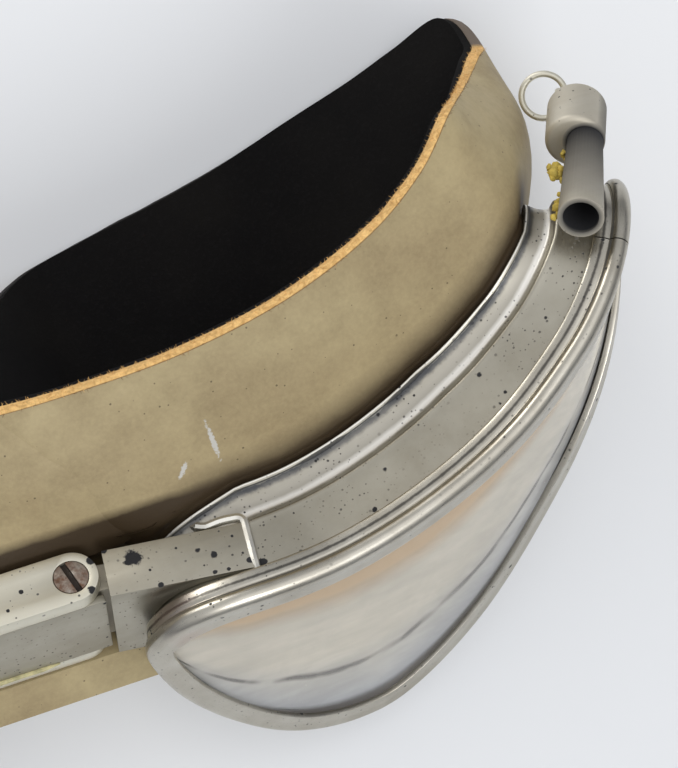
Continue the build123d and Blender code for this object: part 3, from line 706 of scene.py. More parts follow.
def leather(name, tint, shade, marks=(), rim=0.0):
    """Worn tan leather: cloudy tone, fine grain, dark specks, pale scratches, and painted shadow behind the bridge.

    Rim is how far the painted shadow under the metal lip reaches, in centimetres across the uv.
    """
    material, tree = blank(name)
    spots = coordinates(tree)
    cloud = noise_of(tree, spots, 60, 4, 0.55)
    mottle = noise_of(tree, spots, 260, 4, 0.6)
    grain = noise_of(tree, spots, 1900, 3, 0.65)
    cells = make(tree, "ShaderNodeTexVoronoi", {"feature": "F1"}, Vector=spots, Scale=1500.0).outputs["Distance"]
    ragged = noise_of(tree, spots, 2600, 2, 0.6)
    freckle = most(tree, dots_of(tree, spots, 420, 0.12, 0.06, ragged), dots_of(tree, spots, 1100, 0.26, 0.11, ragged))
    colour = mixed(tree, ramp(tree, cloud, (0.38, 0.0), (0.68, 1.0)), tint, shade)
    colour = mixed(tree, ramp(tree, mottle, (0.4, 0.0), (0.7, 0.35)), colour, toned(shade, 0.72))
    colour = mixed(tree, ramp(tree, grain, (0.35, 0.0), (0.75, 0.22)), colour, toned(tint, 1.35))
    colour = mixed(tree, times(tree, freckle, 0.7), colour, SPECK)
    # Painted shadow under the metal lip, darkest next to the metal
    if rim:
        across = wobble(tree, axis_of(tree, coordinates(tree, "UV"), 1), mottle, rim * 0.25)
        painted_shade = ramp(tree, parted(tree, across, rim), (0.26, 1.0), (0.46, 0.9), (0.7, 0.42), (1.0, 0.0))
        colour = mixed(tree, painted_shade, colour, SHADOW_BROWN)
    # Painted shadow of the bridge on the leather just behind it; it fades out below a given height
    behind = minus(tree, axis_of(tree, spots, 1), (GROUND.y + SHADOW_START) * MM)
    behind = wobble(tree, parted(tree, behind, SHADOW_REACH * MM), mottle, 0.2)
    above = parted(tree, minus(tree, axis_of(tree, spots, 2), (GROUND.z + SHADOW_LOW) * MM), SHADOW_FADE * MM)
    painted_shade = times(tree, ramp(tree, behind, (0.2, 1.0), (0.45, 0.8), (0.72, 0.35), (1.0, 0.0)), above, True)
    colour = mixed(tree, painted_shade, colour, SHADOW_BROWN)
    for centre, turn, size in marks:
        gap = vector_maths(tree, "SUBTRACT", spots, centre)
        gap = make(tree, "ShaderNodeVectorRotate", {"rotation_type": "Z_AXIS"}, Vector=gap, Angle=turn).outputs[0]
        gap = vector_maths(tree, "LENGTH", vector_maths(tree, "DIVIDE", gap, size))
        streak = ramp(tree, wobble(tree, gap, ragged, 1.6), (0.6, 0.75), (0.95, 0.0))
        colour = mixed(tree, streak, colour, SCRATCH_PALE)
    height = plus(tree, times(tree, grain, 0.6), times(tree, cells, 0.5))
    paint(tree, 0.35, Base_Color=colour, Roughness=spread_over(tree, mottle, 0.5, 0.72),
          Normal=bumped(tree, height, 0.28, 0.00012))
    return material


def felt(name, tint, warm):
    """Matte black felt lining with faint fibres."""
    material, tree = blank(name)
    spots = coordinates(tree)
    fibre = noise_of(tree, spots, 2200, 3, 0.7, 0.6)
    cloud = noise_of(tree, spots, 50, 3, 0.5)
    colour = mixed(tree, ramp(tree, cloud, (0.4, 0.0), (0.7, 1.0)), tint, warm)
    colour = mixed(tree, ramp(tree, fibre, (0.5, 0.0), (0.85, 0.6)), colour, toned(tint, 2.6))
    paint(tree, 0.1, Base_Color=colour, Roughness=0.95, Normal=bumped(tree, fibre, 0.6, 0.0002))
    return material


UNDERSIDE_BROWN, EDGE_BROWN, EDGE_BLACK = (0.13, 0.065, 0.025), (0.16, 0.125, 0.095), (0.016, 0.014, 0.013)


def raw_fibre(name, tint, dark):
    """Cut leather edge: yellow fibres with brown crumbs, a brown line below, and brown then black further round."""
    material, tree = blank(name)
    spots = coordinates(tree)
    fibre = noise_of(tree, spots, 1500, 4, 0.7, 0.8)
    cloud = noise_of(tree, spots, 240, 3, 0.6)
    colour = mixed(tree, ramp(tree, fibre, (0.35, 1.0), (0.62, 0.0)), tint, dark)
    colour = mixed(tree, ramp(tree, cloud, (0.45, 0.0), (0.75, 0.6)), colour, toned(tint, 0.7))
    under = make(tree, "ShaderNodeAttribute", {"attribute_name": "edge_under"}).outputs["Fac"]
    colour = mixed(tree, ramp(tree, under, (0.3, 0.0), (0.8, 0.9)), colour, UNDERSIDE_BROWN)
    tone = make(tree, "ShaderNodeAttribute", {"attribute_name": "edge_tone"}).outputs["Fac"]
    tone = wobble(tree, tone, cloud, 0.3)
    colour = mixed(tree, ramp(tree, tone, (0.15, 0.0), (0.45, 1.0)), colour, EDGE_BROWN)
    colour = mixed(tree, ramp(tree, tone, (0.6, 0.0), (0.9, 1.0)), colour, EDGE_BLACK)
    paint(tree, Base_Color=colour, Roughness=0.85, Normal=bumped(tree, fibre, 0.7, 0.0003))
    return material


GLASS_TINT = (0.97, 0.96, 0.93, 1)
# The last colour darkens the wavy line and the painted shadow of the bezel along the lower edge
DUST_COOL, DUST_WARM, BAND_BROWN, LINE_DARK = (
    (0.60, 0.61, 0.62), (0.86, 0.80, 0.67), (0.72, 0.53, 0.33), (0.14, 0.13, 0.12))


def hazy_glass(name):
    """Clear glass with a dusty film, wiped streaks, a brown band under the upper rim, a wavy dark line, and a painted
    bezel shadow along the lower edge.
    """
    material, tree = blank(name)
    spots = coordinates(tree)
    haze = noise_of(tree, spots, 90, 5, 0.6, 0.4)
    slow = noise_of(tree, spots, 60, 2, 0.5)
    streak = noise_of(tree, coordinates(tree, "Object", (40, 420, 160), (0, 0, 0.4)), 1.0, 3, 0.6)
    dust = ramp(tree, noise_of(tree, spots, 1400, 2, 0.6), (0.72, 0.0), (0.76, 1.0))
    height = times(tree, axis_of(tree, coordinates(tree, "UV"), 1), 10.0)
    wavy = wobble(tree, height, slow, 0.16)
    line = ramp(tree, apart(tree, wavy, 0.33), (0.004, 1.0), (0.03, 0.0))
    line = times(tree, line, ramp(tree, noise_of(tree, spots, 170, 2, 0.5), (0.4, 0.1), (0.6, 1.0)))
    # Painted shadow of the bezel along the lower edge of the glass
    low = ramp(tree, height, (0.085, 1.0), (0.12, 0.0))
    brown = ramp(tree, wavy, (0.73, 0.0), (0.84, 1.0))
    share = ramp(tree, times(tree, haze, streak), (0.12, 0.42), (0.42, 0.60))
    for film_part, strength in ((dust, 0.6), (brown, 0.62), (line, 0.45), (low, 0.7)):
        share = most(tree, share, times(tree, film_part, strength))
    tint = mixed(tree, ramp(tree, height, (0.1, 0.0), (0.45, 1.0)), DUST_COOL, DUST_WARM)
    tint = mixed(tree, brown, tint, BAND_BROWN)
    tint = mixed(tree, most(tree, line, low), tint, LINE_DARK)
    rough = spread_over(tree, haze, 0.03, 0.12)
    glass = make(tree, "ShaderNodeBsdfPrincipled", Base_Color=GLASS_TINT, Roughness=rough)
    glass.inputs["Transmission Weight"].default_value = 1.0
    glass.inputs["IOR"].default_value = 1.48
    film = make(tree, "ShaderNodeBsdfPrincipled", Base_Color=tint, Roughness=0.6)
    mix = make(tree, "ShaderNodeMixShader", _0=share, _1=glass.outputs[0], _2=film.outputs[0])
    surface(tree, mix.outputs[0])
    return material


def slot_shade(tree, spots):
    """1 on the floor of the screw slots, below the heads."""
    gap = vector_maths(tree, "SUBTRACT", spots, tuple(GROUND * MM))
    rise = parted(tree, vector_maths(tree, "DOT_PRODUCT", gap, tuple(LINK_Z)), MM)
    return ramp(tree, plus(tree, rise, 1.0), (0.62, 0.92), (0.9, 0.0))


def bore_shade(tree, spots):
    """Painted shade: 1 inside the bore of a temple tube, below its mouth, and less over the rim of the mouth."""
    parts = make(tree, "ShaderNodeSeparateXYZ", Vector=spots).outputs
    folded = make(tree, "ShaderNodeCombineXYZ", X=maths(tree, "ABSOLUTE", parts[0]), Y=parts[1], Z=parts[2]).outputs[0]
    top = (Vector((PIVOT_X, 0, 0)) + TUBE_TOP + GROUND) * MM
    gap = vector_maths(tree, "SUBTRACT", folded, tuple(top))
    depth = vector_maths(tree, "DOT_PRODUCT", gap, tuple(TUBE_AXIS))
    along = make(tree, "ShaderNodeVectorMath", {"operation": "SCALE"}, _0=tuple(TUBE_AXIS), Scale=depth).outputs[0]
    gap = vector_maths(tree, "SUBTRACT", gap, along)
    radius = vector_maths(tree, "LENGTH", gap)
    bore = TUBE_BORE_RADIUS / 10
    inside = ramp(tree, times(tree, radius, 100.0), (bore + 0.006, 1.0), (bore + 0.05, 0.35), (bore + 0.065, 0.0))
    below = plus(tree, parted(tree, depth, MM), 0.3)
    return times(tree, inside, ramp(tree, below, (0.0, 0.4), (0.35, 0.8), (0.9, 1.0)))


def rusty_steel(name, tint, rust, hollow):
    """Steel with rust in clouds and dark grains; hollow gives the painted shade on the floors of the slots."""
    material, tree = blank(name)
    spots = coordinates(tree)
    cloud = noise_of(tree, spots, 420, 5, 0.65)
    fine = noise_of(tree, spots, 2100, 3, 0.6)
    share = ramp(tree, cloud, (0.4, 0.0), (0.6, 1.0))
    colour = mixed(tree, share, tint, rust)
    colour = mixed(tree, ramp(tree, fine, (0.45, 0.0), (0.8, 0.5)), colour, (0.03, 0.02, 0.015))
    # Painted shade on the floors of the screw slots
    colour = mixed(tree, hollow(tree, spots), colour, (0.012, 0.008, 0.006))
    paint(tree, Base_Color=colour, Roughness=plus(tree, 0.35, times(tree, share, 0.4)),
          Metallic=minus(tree, 0.9, times(tree, share, 0.6)), Normal=bumped(tree, fine, 0.5, 0.0001))
    return material


def plain(name, tint, roughness):
    """Dull rubber or crumbs with a little mottle."""
    material, tree = blank(name)
    mottle = noise_of(tree, coordinates(tree), 900, 4, 0.6)
    colour = mixed(tree, ramp(tree, mottle, (0.35, 0.0), (0.7, 1.0)), tint, toned(tint, 0.55))
    paint(tree, Base_Color=colour, Roughness=roughness, Normal=bumped(tree, mottle, 0.5, 0.0002))
    return material


def seen_at(x, y, level, tilt=Vector((0, 0, 1))):
    """Row-frame point in metres seen at a picture place, on a plane at a level above the pivot."""
    right, up, back = camera_axes()
    ray = right * ((x - PICTURE_CENTRE[0]) / FOCAL_PIXELS) + up * ((PICTURE_CENTRE[1] - y) / FOCAL_PIXELS) - back
    spot = CAMERA_FROM_PIVOT + ray * ((level - CAMERA_FROM_PIVOT.dot(tilt)) / ray.dot(tilt))
    return (spot + PIVOT) * MM


def blots_at(level, tilt, *marks):
    """Centres and radii in metres of blots given as picture x, picture y and radius in millimetres."""
    return [(tuple(seen_at(x, y, level, tilt)), radius * MM) for x, y, radius in marks]


NICKEL_TINT = (0.44, 0.415, 0.345)
UPRIGHT = Vector((0, 0, 1))
band_blots = blots_at(
    1.8, UPRIGHT, (540, 380, 0.6), (433, 484, 0.4), (448, 432, 0.35), (500, 403, 0.35), (424, 415, 0.25),
    (452, 389, 0.3), (426, 387, 0.25), (500, 361, 0.3), (452, 370, 0.25), (375, 509, 0.35), (389, 454, 0.3),
    (380, 454, 0.2), (314, 555, 0.3), (260, 546, 0.6), (263, 563, 0.7), (323, 483, 0.3), (411, 424, 0.2),
    (367, 465, 0.25), (441, 454, 0.25), (583, 311, 0.45))
bracket_blots = blots_at(
    0.2, LINK_Z, (133, 558, 1.15), (214, 554, 0.5), (200, 523, 0.4), (104, 551, 0.4), (161, 585, 0.4),
    (250, 560, 0.4), (215, 572, 0.3), (229, 569, 0.3), (176, 548, 0.2), (150, 570, 0.2), (232, 536, 0.2))
link_blots = blots_at(0.0, LINK_Z, (21, 592, 0.3), (90, 561, 0.6), (92, 590, 0.55), (8, 611, 0.25))
# Place across the uv, half width, strength and colour of each strip
# Band: a dark blue-grey strip of painted shade under the lip
BAND_GROOVE_SHADE = [(1.05, 0.055, 0.9, (0.045, 0.05, 0.06))]
# Band: painted highlights as pale, less metallic strips on the hollow, along the ridge and on the lip
BAND_HIGHLIGHTS = [(0.90, 0.17, 0.7, (0.46, 0.43, 0.37)), (0.82, 0.06, 0.95, (0.95, 0.92, 0.85)),
                (1.118, 0.011, 0.8, (0.85, 0.83, 0.78))]
# Bezel: painted shade in the groove by the bead, and a painted shadow line where the bezel meets the band
BEZEL_GROOVE_SHADE = [(0.60, 0.026, 0.8, (0.04, 0.037, 0.035)), (0.785, 0.03, 0.85, (0.02, 0.02, 0.02))]
metal = nickel("nickel_band", NICKEL_TINT, "UV", brush_scale=(14, 160, 1), blots=band_blots, grooves=BAND_GROOVE_SHADE,
               streaks=BAND_HIGHLIGHTS, worn=((1.085, 0.02),))
BEZEL_BLUSH = (tuple(seen_at(184, 612, -1.0)), 0.0045, (0.50, 0.34, 0.29))
bezel_metal = nickel("nickel_bezel", (0.52, 0.495, 0.43), "UV", brush_scale=(6, 200, 1), blots=band_blots,
                     roughness=0.3, pits=0.5, grain=0.25, grooves=BEZEL_GROOVE_SHADE, worn=((0.50, 0.015),),
                     blush=BEZEL_BLUSH)
bracket_metal = nickel("nickel_bracket", NICKEL_TINT, brush_turn=(0, 0, radians(12)), brush_scale=(60, 1100, 60),
                       blots=bracket_blots, pits=0.6, roughness=0.45)
link_metal = nickel("cream_nickel", (0.72, 0.69, 0.58), brush_scale=(60, 500, 60), blots=link_blots, pits=0.45,
                    roughness=0.45, stain=0.25)
# Paler plate on broken edges and on the bracket's raised end: partly worn plate, partly painted highlight
worn_highlit_edge = nickel("worn_highlit_edge", (0.78, 0.76, 0.69), pits=0.6, roughness=0.42, stain=0.5)
tube_metal = nickel("dull_nickel", (0.62, 0.58, 0.49), pits=0.2, roughness=0.6, stain=0.4, hollow=bore_shade)
rust = rusty_steel("rusty_screw", (0.42, 0.38, 0.33), (0.16, 0.085, 0.05), hollow=slot_shade)
# Place, turn and half sizes in metres of each scratch
SCRATCHES = (
    (tuple(seen_at(214, 441, 2.0)), radians(-8), (0.00035, 0.0026, 0.006)),
    (tuple(seen_at(183, 470, 0.0)), radians(40), (0.00035, 0.0012, 0.006)),
)
TAN, TAN_SHADE = (0.44, 0.355, 0.195), (0.32, 0.245, 0.13)
tan = leather("tan_leather", TAN, TAN_SHADE, marks=SCRATCHES)
# The wall's copy also carries the painted shadow under the metal lip
tan_wall = leather("tan_leather_wall", TAN, TAN_SHADE, marks=SCRATCHES, rim=0.62)
lining_felt = felt("black_felt", (0.007, 0.0065, 0.0065), (0.011, 0.010, 0.009))
edge_fibre = raw_fibre("raw_edge", (0.98, 0.63, 0.24), (0.60, 0.34, 0.11))
glass = hazy_glass("hazy_lens")
rubber = plain("black_rubber", (0.02, 0.02, 0.02), 0.7)
crumbs = plain("yellow_residue", (0.70, 0.52, 0.10), 0.85)
filler = plain("pale_filler", (0.62, 0.56, 0.30), 0.85)


def fuzz_tree(name, material):
    """Short loose fibres that stand out of a cut edge where its tone is still yellow."""
    tree = bpy.data.node_groups.new(name, "GeometryNodeTree")
    face = tree.interface
    face.new_socket(name="Geometry", in_out="INPUT", socket_type="NodeSocketGeometry")
    for title, kind, value in (("Fibres per square metre", "NodeSocketFloat", 7e6),
                               ("Fibre length", "NodeSocketFloat", 0.00038),
                               ("Fibre radius", "NodeSocketFloat", 0.00003), ("Seed", "NodeSocketInt", 7)):
        face.new_socket(name=title, in_out="INPUT", socket_type=kind).default_value = value
    face.new_socket(name="Geometry", in_out="OUTPUT", socket_type="NodeSocketGeometry")
    given = tree.nodes.new("NodeGroupInput").outputs
    tone = make(tree, "GeometryNodeInputNamedAttribute", {"data_type": "FLOAT"}, Name="edge_tone").outputs["Attribute"]
    yellow = make(tree, "FunctionNodeCompare", {"data_type": "FLOAT", "operation": "LESS_THAN"}, A=tone, B=0.25)
    spread = make(tree, "GeometryNodeDistributePointsOnFaces", {"distribute_method": "RANDOM"}, Mesh=given["Geometry"],
                  Selection=yellow.outputs[0], Density=given["Fibres per square metre"], Seed=given["Seed"])
    fibre = make(tree, "GeometryNodeMeshCone", Vertices=3, Radius_Top=0.000008, Radius_Bottom=given["Fibre radius"],
                 Depth=given["Fibre length"])
    tilt = make(tree, "FunctionNodeRandomValue", {"data_type": "FLOAT_VECTOR"}, _0=(-1.1, -1.1, 0.0),
                _1=(1.1, 1.1, 6.28), Seed=given["Seed"])
    turned = make(tree, "FunctionNodeRotateRotation", {"rotation_space": "LOCAL"},
                  Rotation=spread.outputs["Rotation"], Rotate_By=tilt.outputs[0])
    size = make(tree, "FunctionNodeRandomValue", {"data_type": "FLOAT"}, _2=0.5, _3=1.3, Seed=given["Seed"])
    placed = make(tree, "GeometryNodeInstanceOnPoints", Points=spread.outputs["Points"], Instance=fibre.outputs["Mesh"],
                  Rotation=turned.outputs[0], Scale=size.outputs[1])
    plainly = make(tree, "GeometryNodeRealizeInstances", Geometry=placed.outputs[0])
    painted = make(tree, "GeometryNodeSetMaterial", Geometry=plainly.outputs[0], Material=material)
    finished = tree.nodes.new("NodeGroupOutput")
    tree.links.new(painted.outputs[0], finished.inputs[0])
    return tree


fuzz = fuzz_tree("edge_fuzz", edge_fibre)


def fibres_on(edge, name, seed):
    """Plain mesh of the loose fibres of one cut edge."""
    carrier = bpy.data.objects.new(name + "_carrier", edge.data.copy())
    bpy.context.scene.collection.objects.link(carrier)
    modifier = carrier.modifiers.new("fuzz", "NODES")
    modifier.node_group = fuzz
    for item in fuzz.interface.items_tree:
        if item.name == "Seed":
            modifier[item.identifier] = seed
    made = bpy.data.meshes.new_from_object(carrier.evaluated_get(bpy.context.evaluated_depsgraph_get()))
    carrier.modifiers.clear()
    bpy.data.objects.remove(carrier)
    piece = bpy.data.objects.new(name, made)
    bpy.context.scene.collection.objects.link(piece)
    return piece


def edge_marks(piece, tones, width):
    """Tone of each row and the brown underside, kept on the points of a cut edge."""
    count = len(tones) * width
    tone = piece.data.attributes.new("edge_tone", "FLOAT", "POINT")
    tone.data.foreach_set("value", [tones[i // width] for i in range(count)])
    under = piece.data.attributes.new("edge_under", "FLOAT", "POINT")
    under.data.foreach_set("value", [1.0 if i % width == 0 else 0.0 for i in range(count)])


# Copies of solids: gap under which corners merge, and angles for flat faces, broken edges and shaded edges
MERGE_GAP, FLAT_ANGLE, BROKEN_ANGLE, SHADED_ANGLE = 1e-6, radians(1.5), radians(35), radians(38)
BEVEL_SEGMENTS = 2


def cad_copy(node, name, material, bevel, edges=None):
    """Merged copy of a solid with its edges broken, to stand for it; edges is the finish of the broken edges."""
    piece = bpy.data.objects.new(name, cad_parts[node].data.copy())
    bpy.context.scene.collection.objects.link(piece)
    maker = bmesh.new()
    maker.from_mesh(piece.data)
    bmesh.ops.remove_doubles(maker, verts=maker.verts, dist=MERGE_GAP)
    bmesh.ops.dissolve_limit(maker, angle_limit=FLAT_ANGLE, verts=maker.verts, edges=maker.edges)
    sharp = [edge for edge in maker.edges if len(edge.link_faces) == 2 and edge.calc_face_angle(0) > BROKEN_ANGLE]
    bmesh.ops.bevel(maker, geom=sharp, offset=bevel * MM, segments=BEVEL_SEGMENTS, profile=0.5, affect="EDGES",
                    material=1 if edges else -1, clamp_overlap=True, loop_slide=True)
    bmesh.ops.triangulate(maker, faces=[face for face in maker.faces if len(face.verts) > 4])
    for face in maker.faces:
        face.smooth = True
    for edge in maker.edges:
        edge.smooth = len(edge.link_faces) != 2 or edge.calc_face_angle(0) < SHADED_ANGLE
    maker.to_mesh(piece.data)
    maker.free()
    piece.data.materials.clear()
    piece.data.materials.append(material)
    if edges:
        piece.data.materials.append(edges)
    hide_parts(node)
    return piece


def belongs(piece, body, slot_name, *nodes):
    """Set the body and the replaced nodes of a finished piece; the slot name is not used."""
    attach(piece, body)
    if nodes:
        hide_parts(*nodes)
    return piece


# Each side. The columns of the lens crowd towards its two ends and stop a little short of them.
LENS_OUTLINE_STEPS, LENS_COLUMNS, LENS_ROWS = 600, 72, 22
LENS_COLUMN_START, LENS_COLUMN_SPAN = 0.03, 0.94

# Length round the rim as a share of its longest measure, and steps round the split bezel
RIM_ROUND, BEZEL_STEPS = 2.6, 200
# Room between leather and felt, where the felt starts, and how much of the cut edge's height it leaves free
FELT_GAP, FELT_START, FELT_SHARE = 0.03, 0.1, 0.7
# Overlap of the cut edge with the leather, and the run that gives its direction
EDGE_OVERLAP, EDGE_RUN = 0.02, 1
# Thickness of the nose leather, top of the felt under it, its rows from the rear, and how many points it ends short
NOSE_LEATHER, NOSE_FELT_TOP = LEATHER - 0.1, LEATHER - 0.07
NOSE_FELT_ROWS, NOSE_FELT_SHORT = 8, 3
# Seeds of the loose fibres on the face cushions and on the nose leather
FACE_FIBRE_SEED, NOSE_FIBRE_SEED = 11, 17
# Raised end of the bracket: picture x, picture y and level of each point
RIB_LINE = (
    (196, 531, -0.7), (206, 527, -0.3), (218, 522, -0.1), (230, 519, 0.0), (239, 518, 0.05), (244, 522, 0.08),
    (247, 533, 0.05), (250, 544, 0.02), (253, 556, 0.0), (256, 567, -0.1), (258, 574, -0.6))
RIB_DROP, RIB_RADIUS, RIB_STEPS = 0.2, 0.55, 4
# Crumbs left by the strap: distance from the axis of the temple tube, turn, depth below its mouth, and size
CRUMBS = (
    (2.5, 186, 14.3, 0.38), (2.6, 178, 13.6, 0.25), (3.5, 183, 10.2, 0.75), (3.0, 186, 9.6, 0.6),
    (4.0, 180, 10.9, 0.45), (2.6, 190, 8.8, 0.35), (3.6, 184, 9.0, 0.4), (2.65, 184, 5.4, 0.35),
    (2.7, 188, 4.3, 0.42), (2.75, 186, 3.2, 0.38), (2.9, 182, 2.4, 0.45), (3.2, 184, 0.8, 0.4),
    (2.8, 190, 1.5, 0.4), (2.6, 200, 11.9, 0.22), (2.5, 196, 14.6, 0.5), (2.5, 205, 14.2, 0.35),
    (3.3, 178, 11.0, 0.6), (2.7, 180, 10.4, 0.5), (3.4, 180, 9.6, 0.7), (2.9, 188, 3.8, 0.45),
    (3.0, 186, 2.9, 0.5), (2.6, 210, 13.6, 0.3))


def lens_mesh():
    """Closed curved glass, with uv that rises from its lower to its upper edge."""
    outline = []
    for index in range(LENS_OUTLINE_STEPS):
        place = index * RIM_COUNT / LENS_OUTLINE_STEPS
        spot = through(RIM_POINTS, place)
        along = (through(RIM_POINTS, place + TANGENT_STEP) - spot).normalized()
        outline.append(spot - Vector((-along.y, along.x)) * LENS_INSET)
    nose_end = min(spot.x for spot in outline)
    reach = (max(spot.x for spot in outline) - nose_end) / 2
    sections = []
    for column in range(LENS_COLUMNS + 1):
        s = nose_end + reach * (1 - cos(pi * (LENS_COLUMN_START + LENS_COLUMN_SPAN * column / LENS_COLUMNS)))
        crossings = []
        for here, after in zip(outline, outline[1:] + outline[:1]):
            if (here.x - s) * (after.x - s) <= 0 and here.x != after.x:
                crossings.append(here.y + (after.y - here.y) * (s - here.x) / (after.x - here.x))
        low, high = min(crossings), max(crossings)
        heights = [low + (high - low) * row / LENS_ROWS for row in range(LENS_ROWS + 1)]
        front = [wall_point(s, height, LENS_FRONT) for height in heights]
        back = [wall_point(s, height, LENS_FRONT + LENS_THICKNESS) for height in heights]
        sections.append(front + back[::-1])
    ladder = [row / LENS_ROWS for row in range(LENS_ROWS + 1)]
    return tube_mesh(sections, closed=False, caps=True, ladder=ladder + ladder[::-1] + [0.0])


def metal_front(name, side, eyepiece):
    """Metal band, split bezel and lens of one eyepiece."""
    band = finish_mesh(tube_mesh(rim_ring(band_profile)), name + "_band", side, metal)
    belongs(band, eyepiece, "nickel_plate", name + "_eyecup_band")

    half_split = SPLIT_WIDTH / 4 / (RIM_LENGTH * RIM_ROUND / RIM_COUNT)
    whole = RIM_COUNT - 2 * half_split
    places = [SPLIT_PLACE + half_split + whole * i / BEZEL_STEPS for i in range(BEZEL_STEPS + 1)]
    bezel = finish_mesh(tube_mesh(rim_ring(bezel_profile, places), closed=False, caps=True),
                        name + "_bezel", side, bezel_metal)
    belongs(bezel, eyepiece, "nickel_plate", name + "_lens_bezel")

    lens = finish_mesh(lens_mesh(), name + "_glass", side, glass, sharp=50)
    belongs(lens, eyepiece, "lens_glass", name + "_lens")


def face_cushion(name, side, eyepiece):
    """Leather wall, felt lining, and the cut edge with its loose fibres."""
    wall = finish_mesh(tube_mesh([wall_section(place, (0, LEATHER), NEAR_LIP[0], EDGE_BAND) for place in PLACES]),
                       name + "_leather", side, tan_wall, sharp=60)
    belongs(wall, eyepiece, "tan_leather", name + "_face_cushion")
    depths = (LEATHER + FELT_GAP, LEATHER + LINING)
    felt_wall = finish_mesh(
        tube_mesh([wall_section(place, depths, FELT_START, EDGE_BAND * FELT_SHARE) for place in PLACES]),
        name + "_felt", side, lining_felt, sharp=60)
    belongs(felt_wall, eyepiece, "black_lining", name + "_cushion_lining")

    sections = []
    for i, place in enumerate(PLACES):
        inward, length = wall_frame(place)[2:]
        base = wall_spot(place, length - EDGE_BAND - EDGE_OVERLAP, 0)
        onward = (base - wall_spot(place, length - EDGE_BAND - EDGE_RUN, 0)).normalized()
        wave = EDGE_WAVE * noise.noise(Vector((i * 0.35, side * 4.0, 0)))
        sections.append(edge_loop(base, onward, inward, wave))
    edge = finish_mesh(tube_mesh(sections), name + "_raw_edge", side, edge_fibre)
    edge_marks(edge, [far_tone(place) for place in PLACES], len(sections[0]))
    fuzzy = fibres_on(edge, name + "_edge_fibres", FACE_FIBRE_SEED + side)
    belongs(edge, eyepiece, "raw_leather_edge", name + "_cushion_edge")
    belongs(fuzzy, eyepiece, "raw_leather_edge")


def nose_half(name, side):
    """Half of the nose leather, its felt and its cut edge, which bend between the bridge and this eyepiece."""
    rows = nose_rows()
    normals = row_normals(rows)
    sections = []
    for c in range(NOSE_STEPS + 1):
        onward = (rows[0][c] - rows[1][c]).normalized()
        wave = EDGE_WAVE * noise.noise(Vector((c * 0.5, 9.0, 0)))
        sections.append(edge_loop(rows[0][c] - onward * EDGE_OVERLAP, onward, -normals[0][c], wave))
    trim = finish_mesh(tube_mesh(sections, closed=False, caps=True), name + "_nose_raw_edge", side, edge_fibre)
    edge_marks(trim, [0.0] * len(sections), len(sections[0]))
    fuzzy = fibres_on(trim, name + "_nose_fibres", NOSE_FIBRE_SEED + side)
    skin = finish_mesh(tube_mesh(nose_layer(rows, normals, 0, NOSE_LEATHER), closed=False, caps=True),
                       name + "_nose_leather", side, tan, sharp=60)
    under_rows = [row[:-NOSE_FELT_SHORT] for row in rows[:NOSE_FELT_ROWS]]
    under = finish_mesh(
        tube_mesh(nose_layer(under_rows, normals, NOSE_FELT_TOP, LEATHER + LINING), closed=False, caps=True),
        name + "_nose_felt", side, lining_felt, sharp=60)
    for piece, slot_name, node in (
            (skin, "tan_leather", "nose_cushion"), (under, "black_lining", "nose_lining"),
            (trim, "raw_leather_edge", "nose_edge"), (fuzzy, "raw_leather_edge", None)):
        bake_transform(piece)
        if node:
            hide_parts(node)


def small_forms(name, side, eyepiece):
    """Raised end of the bracket, and crumbs beside the temple tube."""
    line = [seen_at(x, y, level - RIB_DROP, LINK_Z) / MM - GROUND for x, y, level in RIB_LINE]
    path = [through(line, k / RIB_STEPS) for k in range(RIB_STEPS * (len(line) - 1) + 1)]
    rib = finish_mesh(wire_mesh(path, RIB_RADIUS, up=LINK_Z), name + "_bracket_rib", side, worn_highlit_edge)
    belongs(rib, eyepiece, "nickel_plate")
    lumps = [(tube_point(radius, turn, depth), size) for radius, turn, depth, size in CRUMBS]
    residue = finish_mesh(crumb_mesh(lumps), name + "_residue", side, crumbs, sharp=60)
    belongs(residue, eyepiece, None)


def repaint(node, material):
    """Finish of a solid that is shown as it is."""
    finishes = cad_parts[node].data.materials
    finishes.clear()
    finishes.append(material)


def small_metal(name, eyepiece):
    """Bevelled copies of the bracket, hinge, temple and strap pieces, and the finish of gasket and ring."""
    for node, material, slot_name, body, width in (
            ("bridge_bracket", bracket_metal, "nickel_plate", eyepiece, 0.22),
            ("hinge_knuckle", tube_metal, "nickel_plate", eyepiece, 0.1),
            ("temple_tube", tube_metal, "nickel_plate", eyepiece, 0.15),
            ("temple_pin", rust, "screw_steel", eyepiece, 0.1),
            ("strap_sleeve", tube_metal, "nickel_plate", name + "_sleeve", 0.5),
            ("ring_clip", link_metal, "nickel_plate", name + "_sleeve", 0.12)):
        edges = worn_highlit_edge if node == "bridge_bracket" else None
        node = name + "_" + node
        belongs(cad_copy(node, node + "_skin", material, width, edges=edges), body, slot_name)
    repaint(name + "_lens_gasket", rubber)
    repaint(name + "_strap_ring", link_metal)


for side_name, side_sign in SIDES.items():
    side_body = side_name + "_eyepiece"
    metal_front(side_name, side_sign, side_body)
    face_cushion(side_name, side_sign, side_body)
    nose_half(side_name, side_sign)
    small_forms(side_name, side_sign, side_body)
    small_metal(side_name, side_body)


# Pale filler along the bottom link: places along it, height and depth in the link's axes, radius, and waver
FILLER_PLACES = (-9.5, -7.5, -5, -2.5, 0, 2.5, 5, 7.5, 9.5)
FILLER_Y, FILLER_Z, FILLER_RADIUS = -3.2, -13.85, 0.32
FILLER_WAVER = (0.08, 0.12)


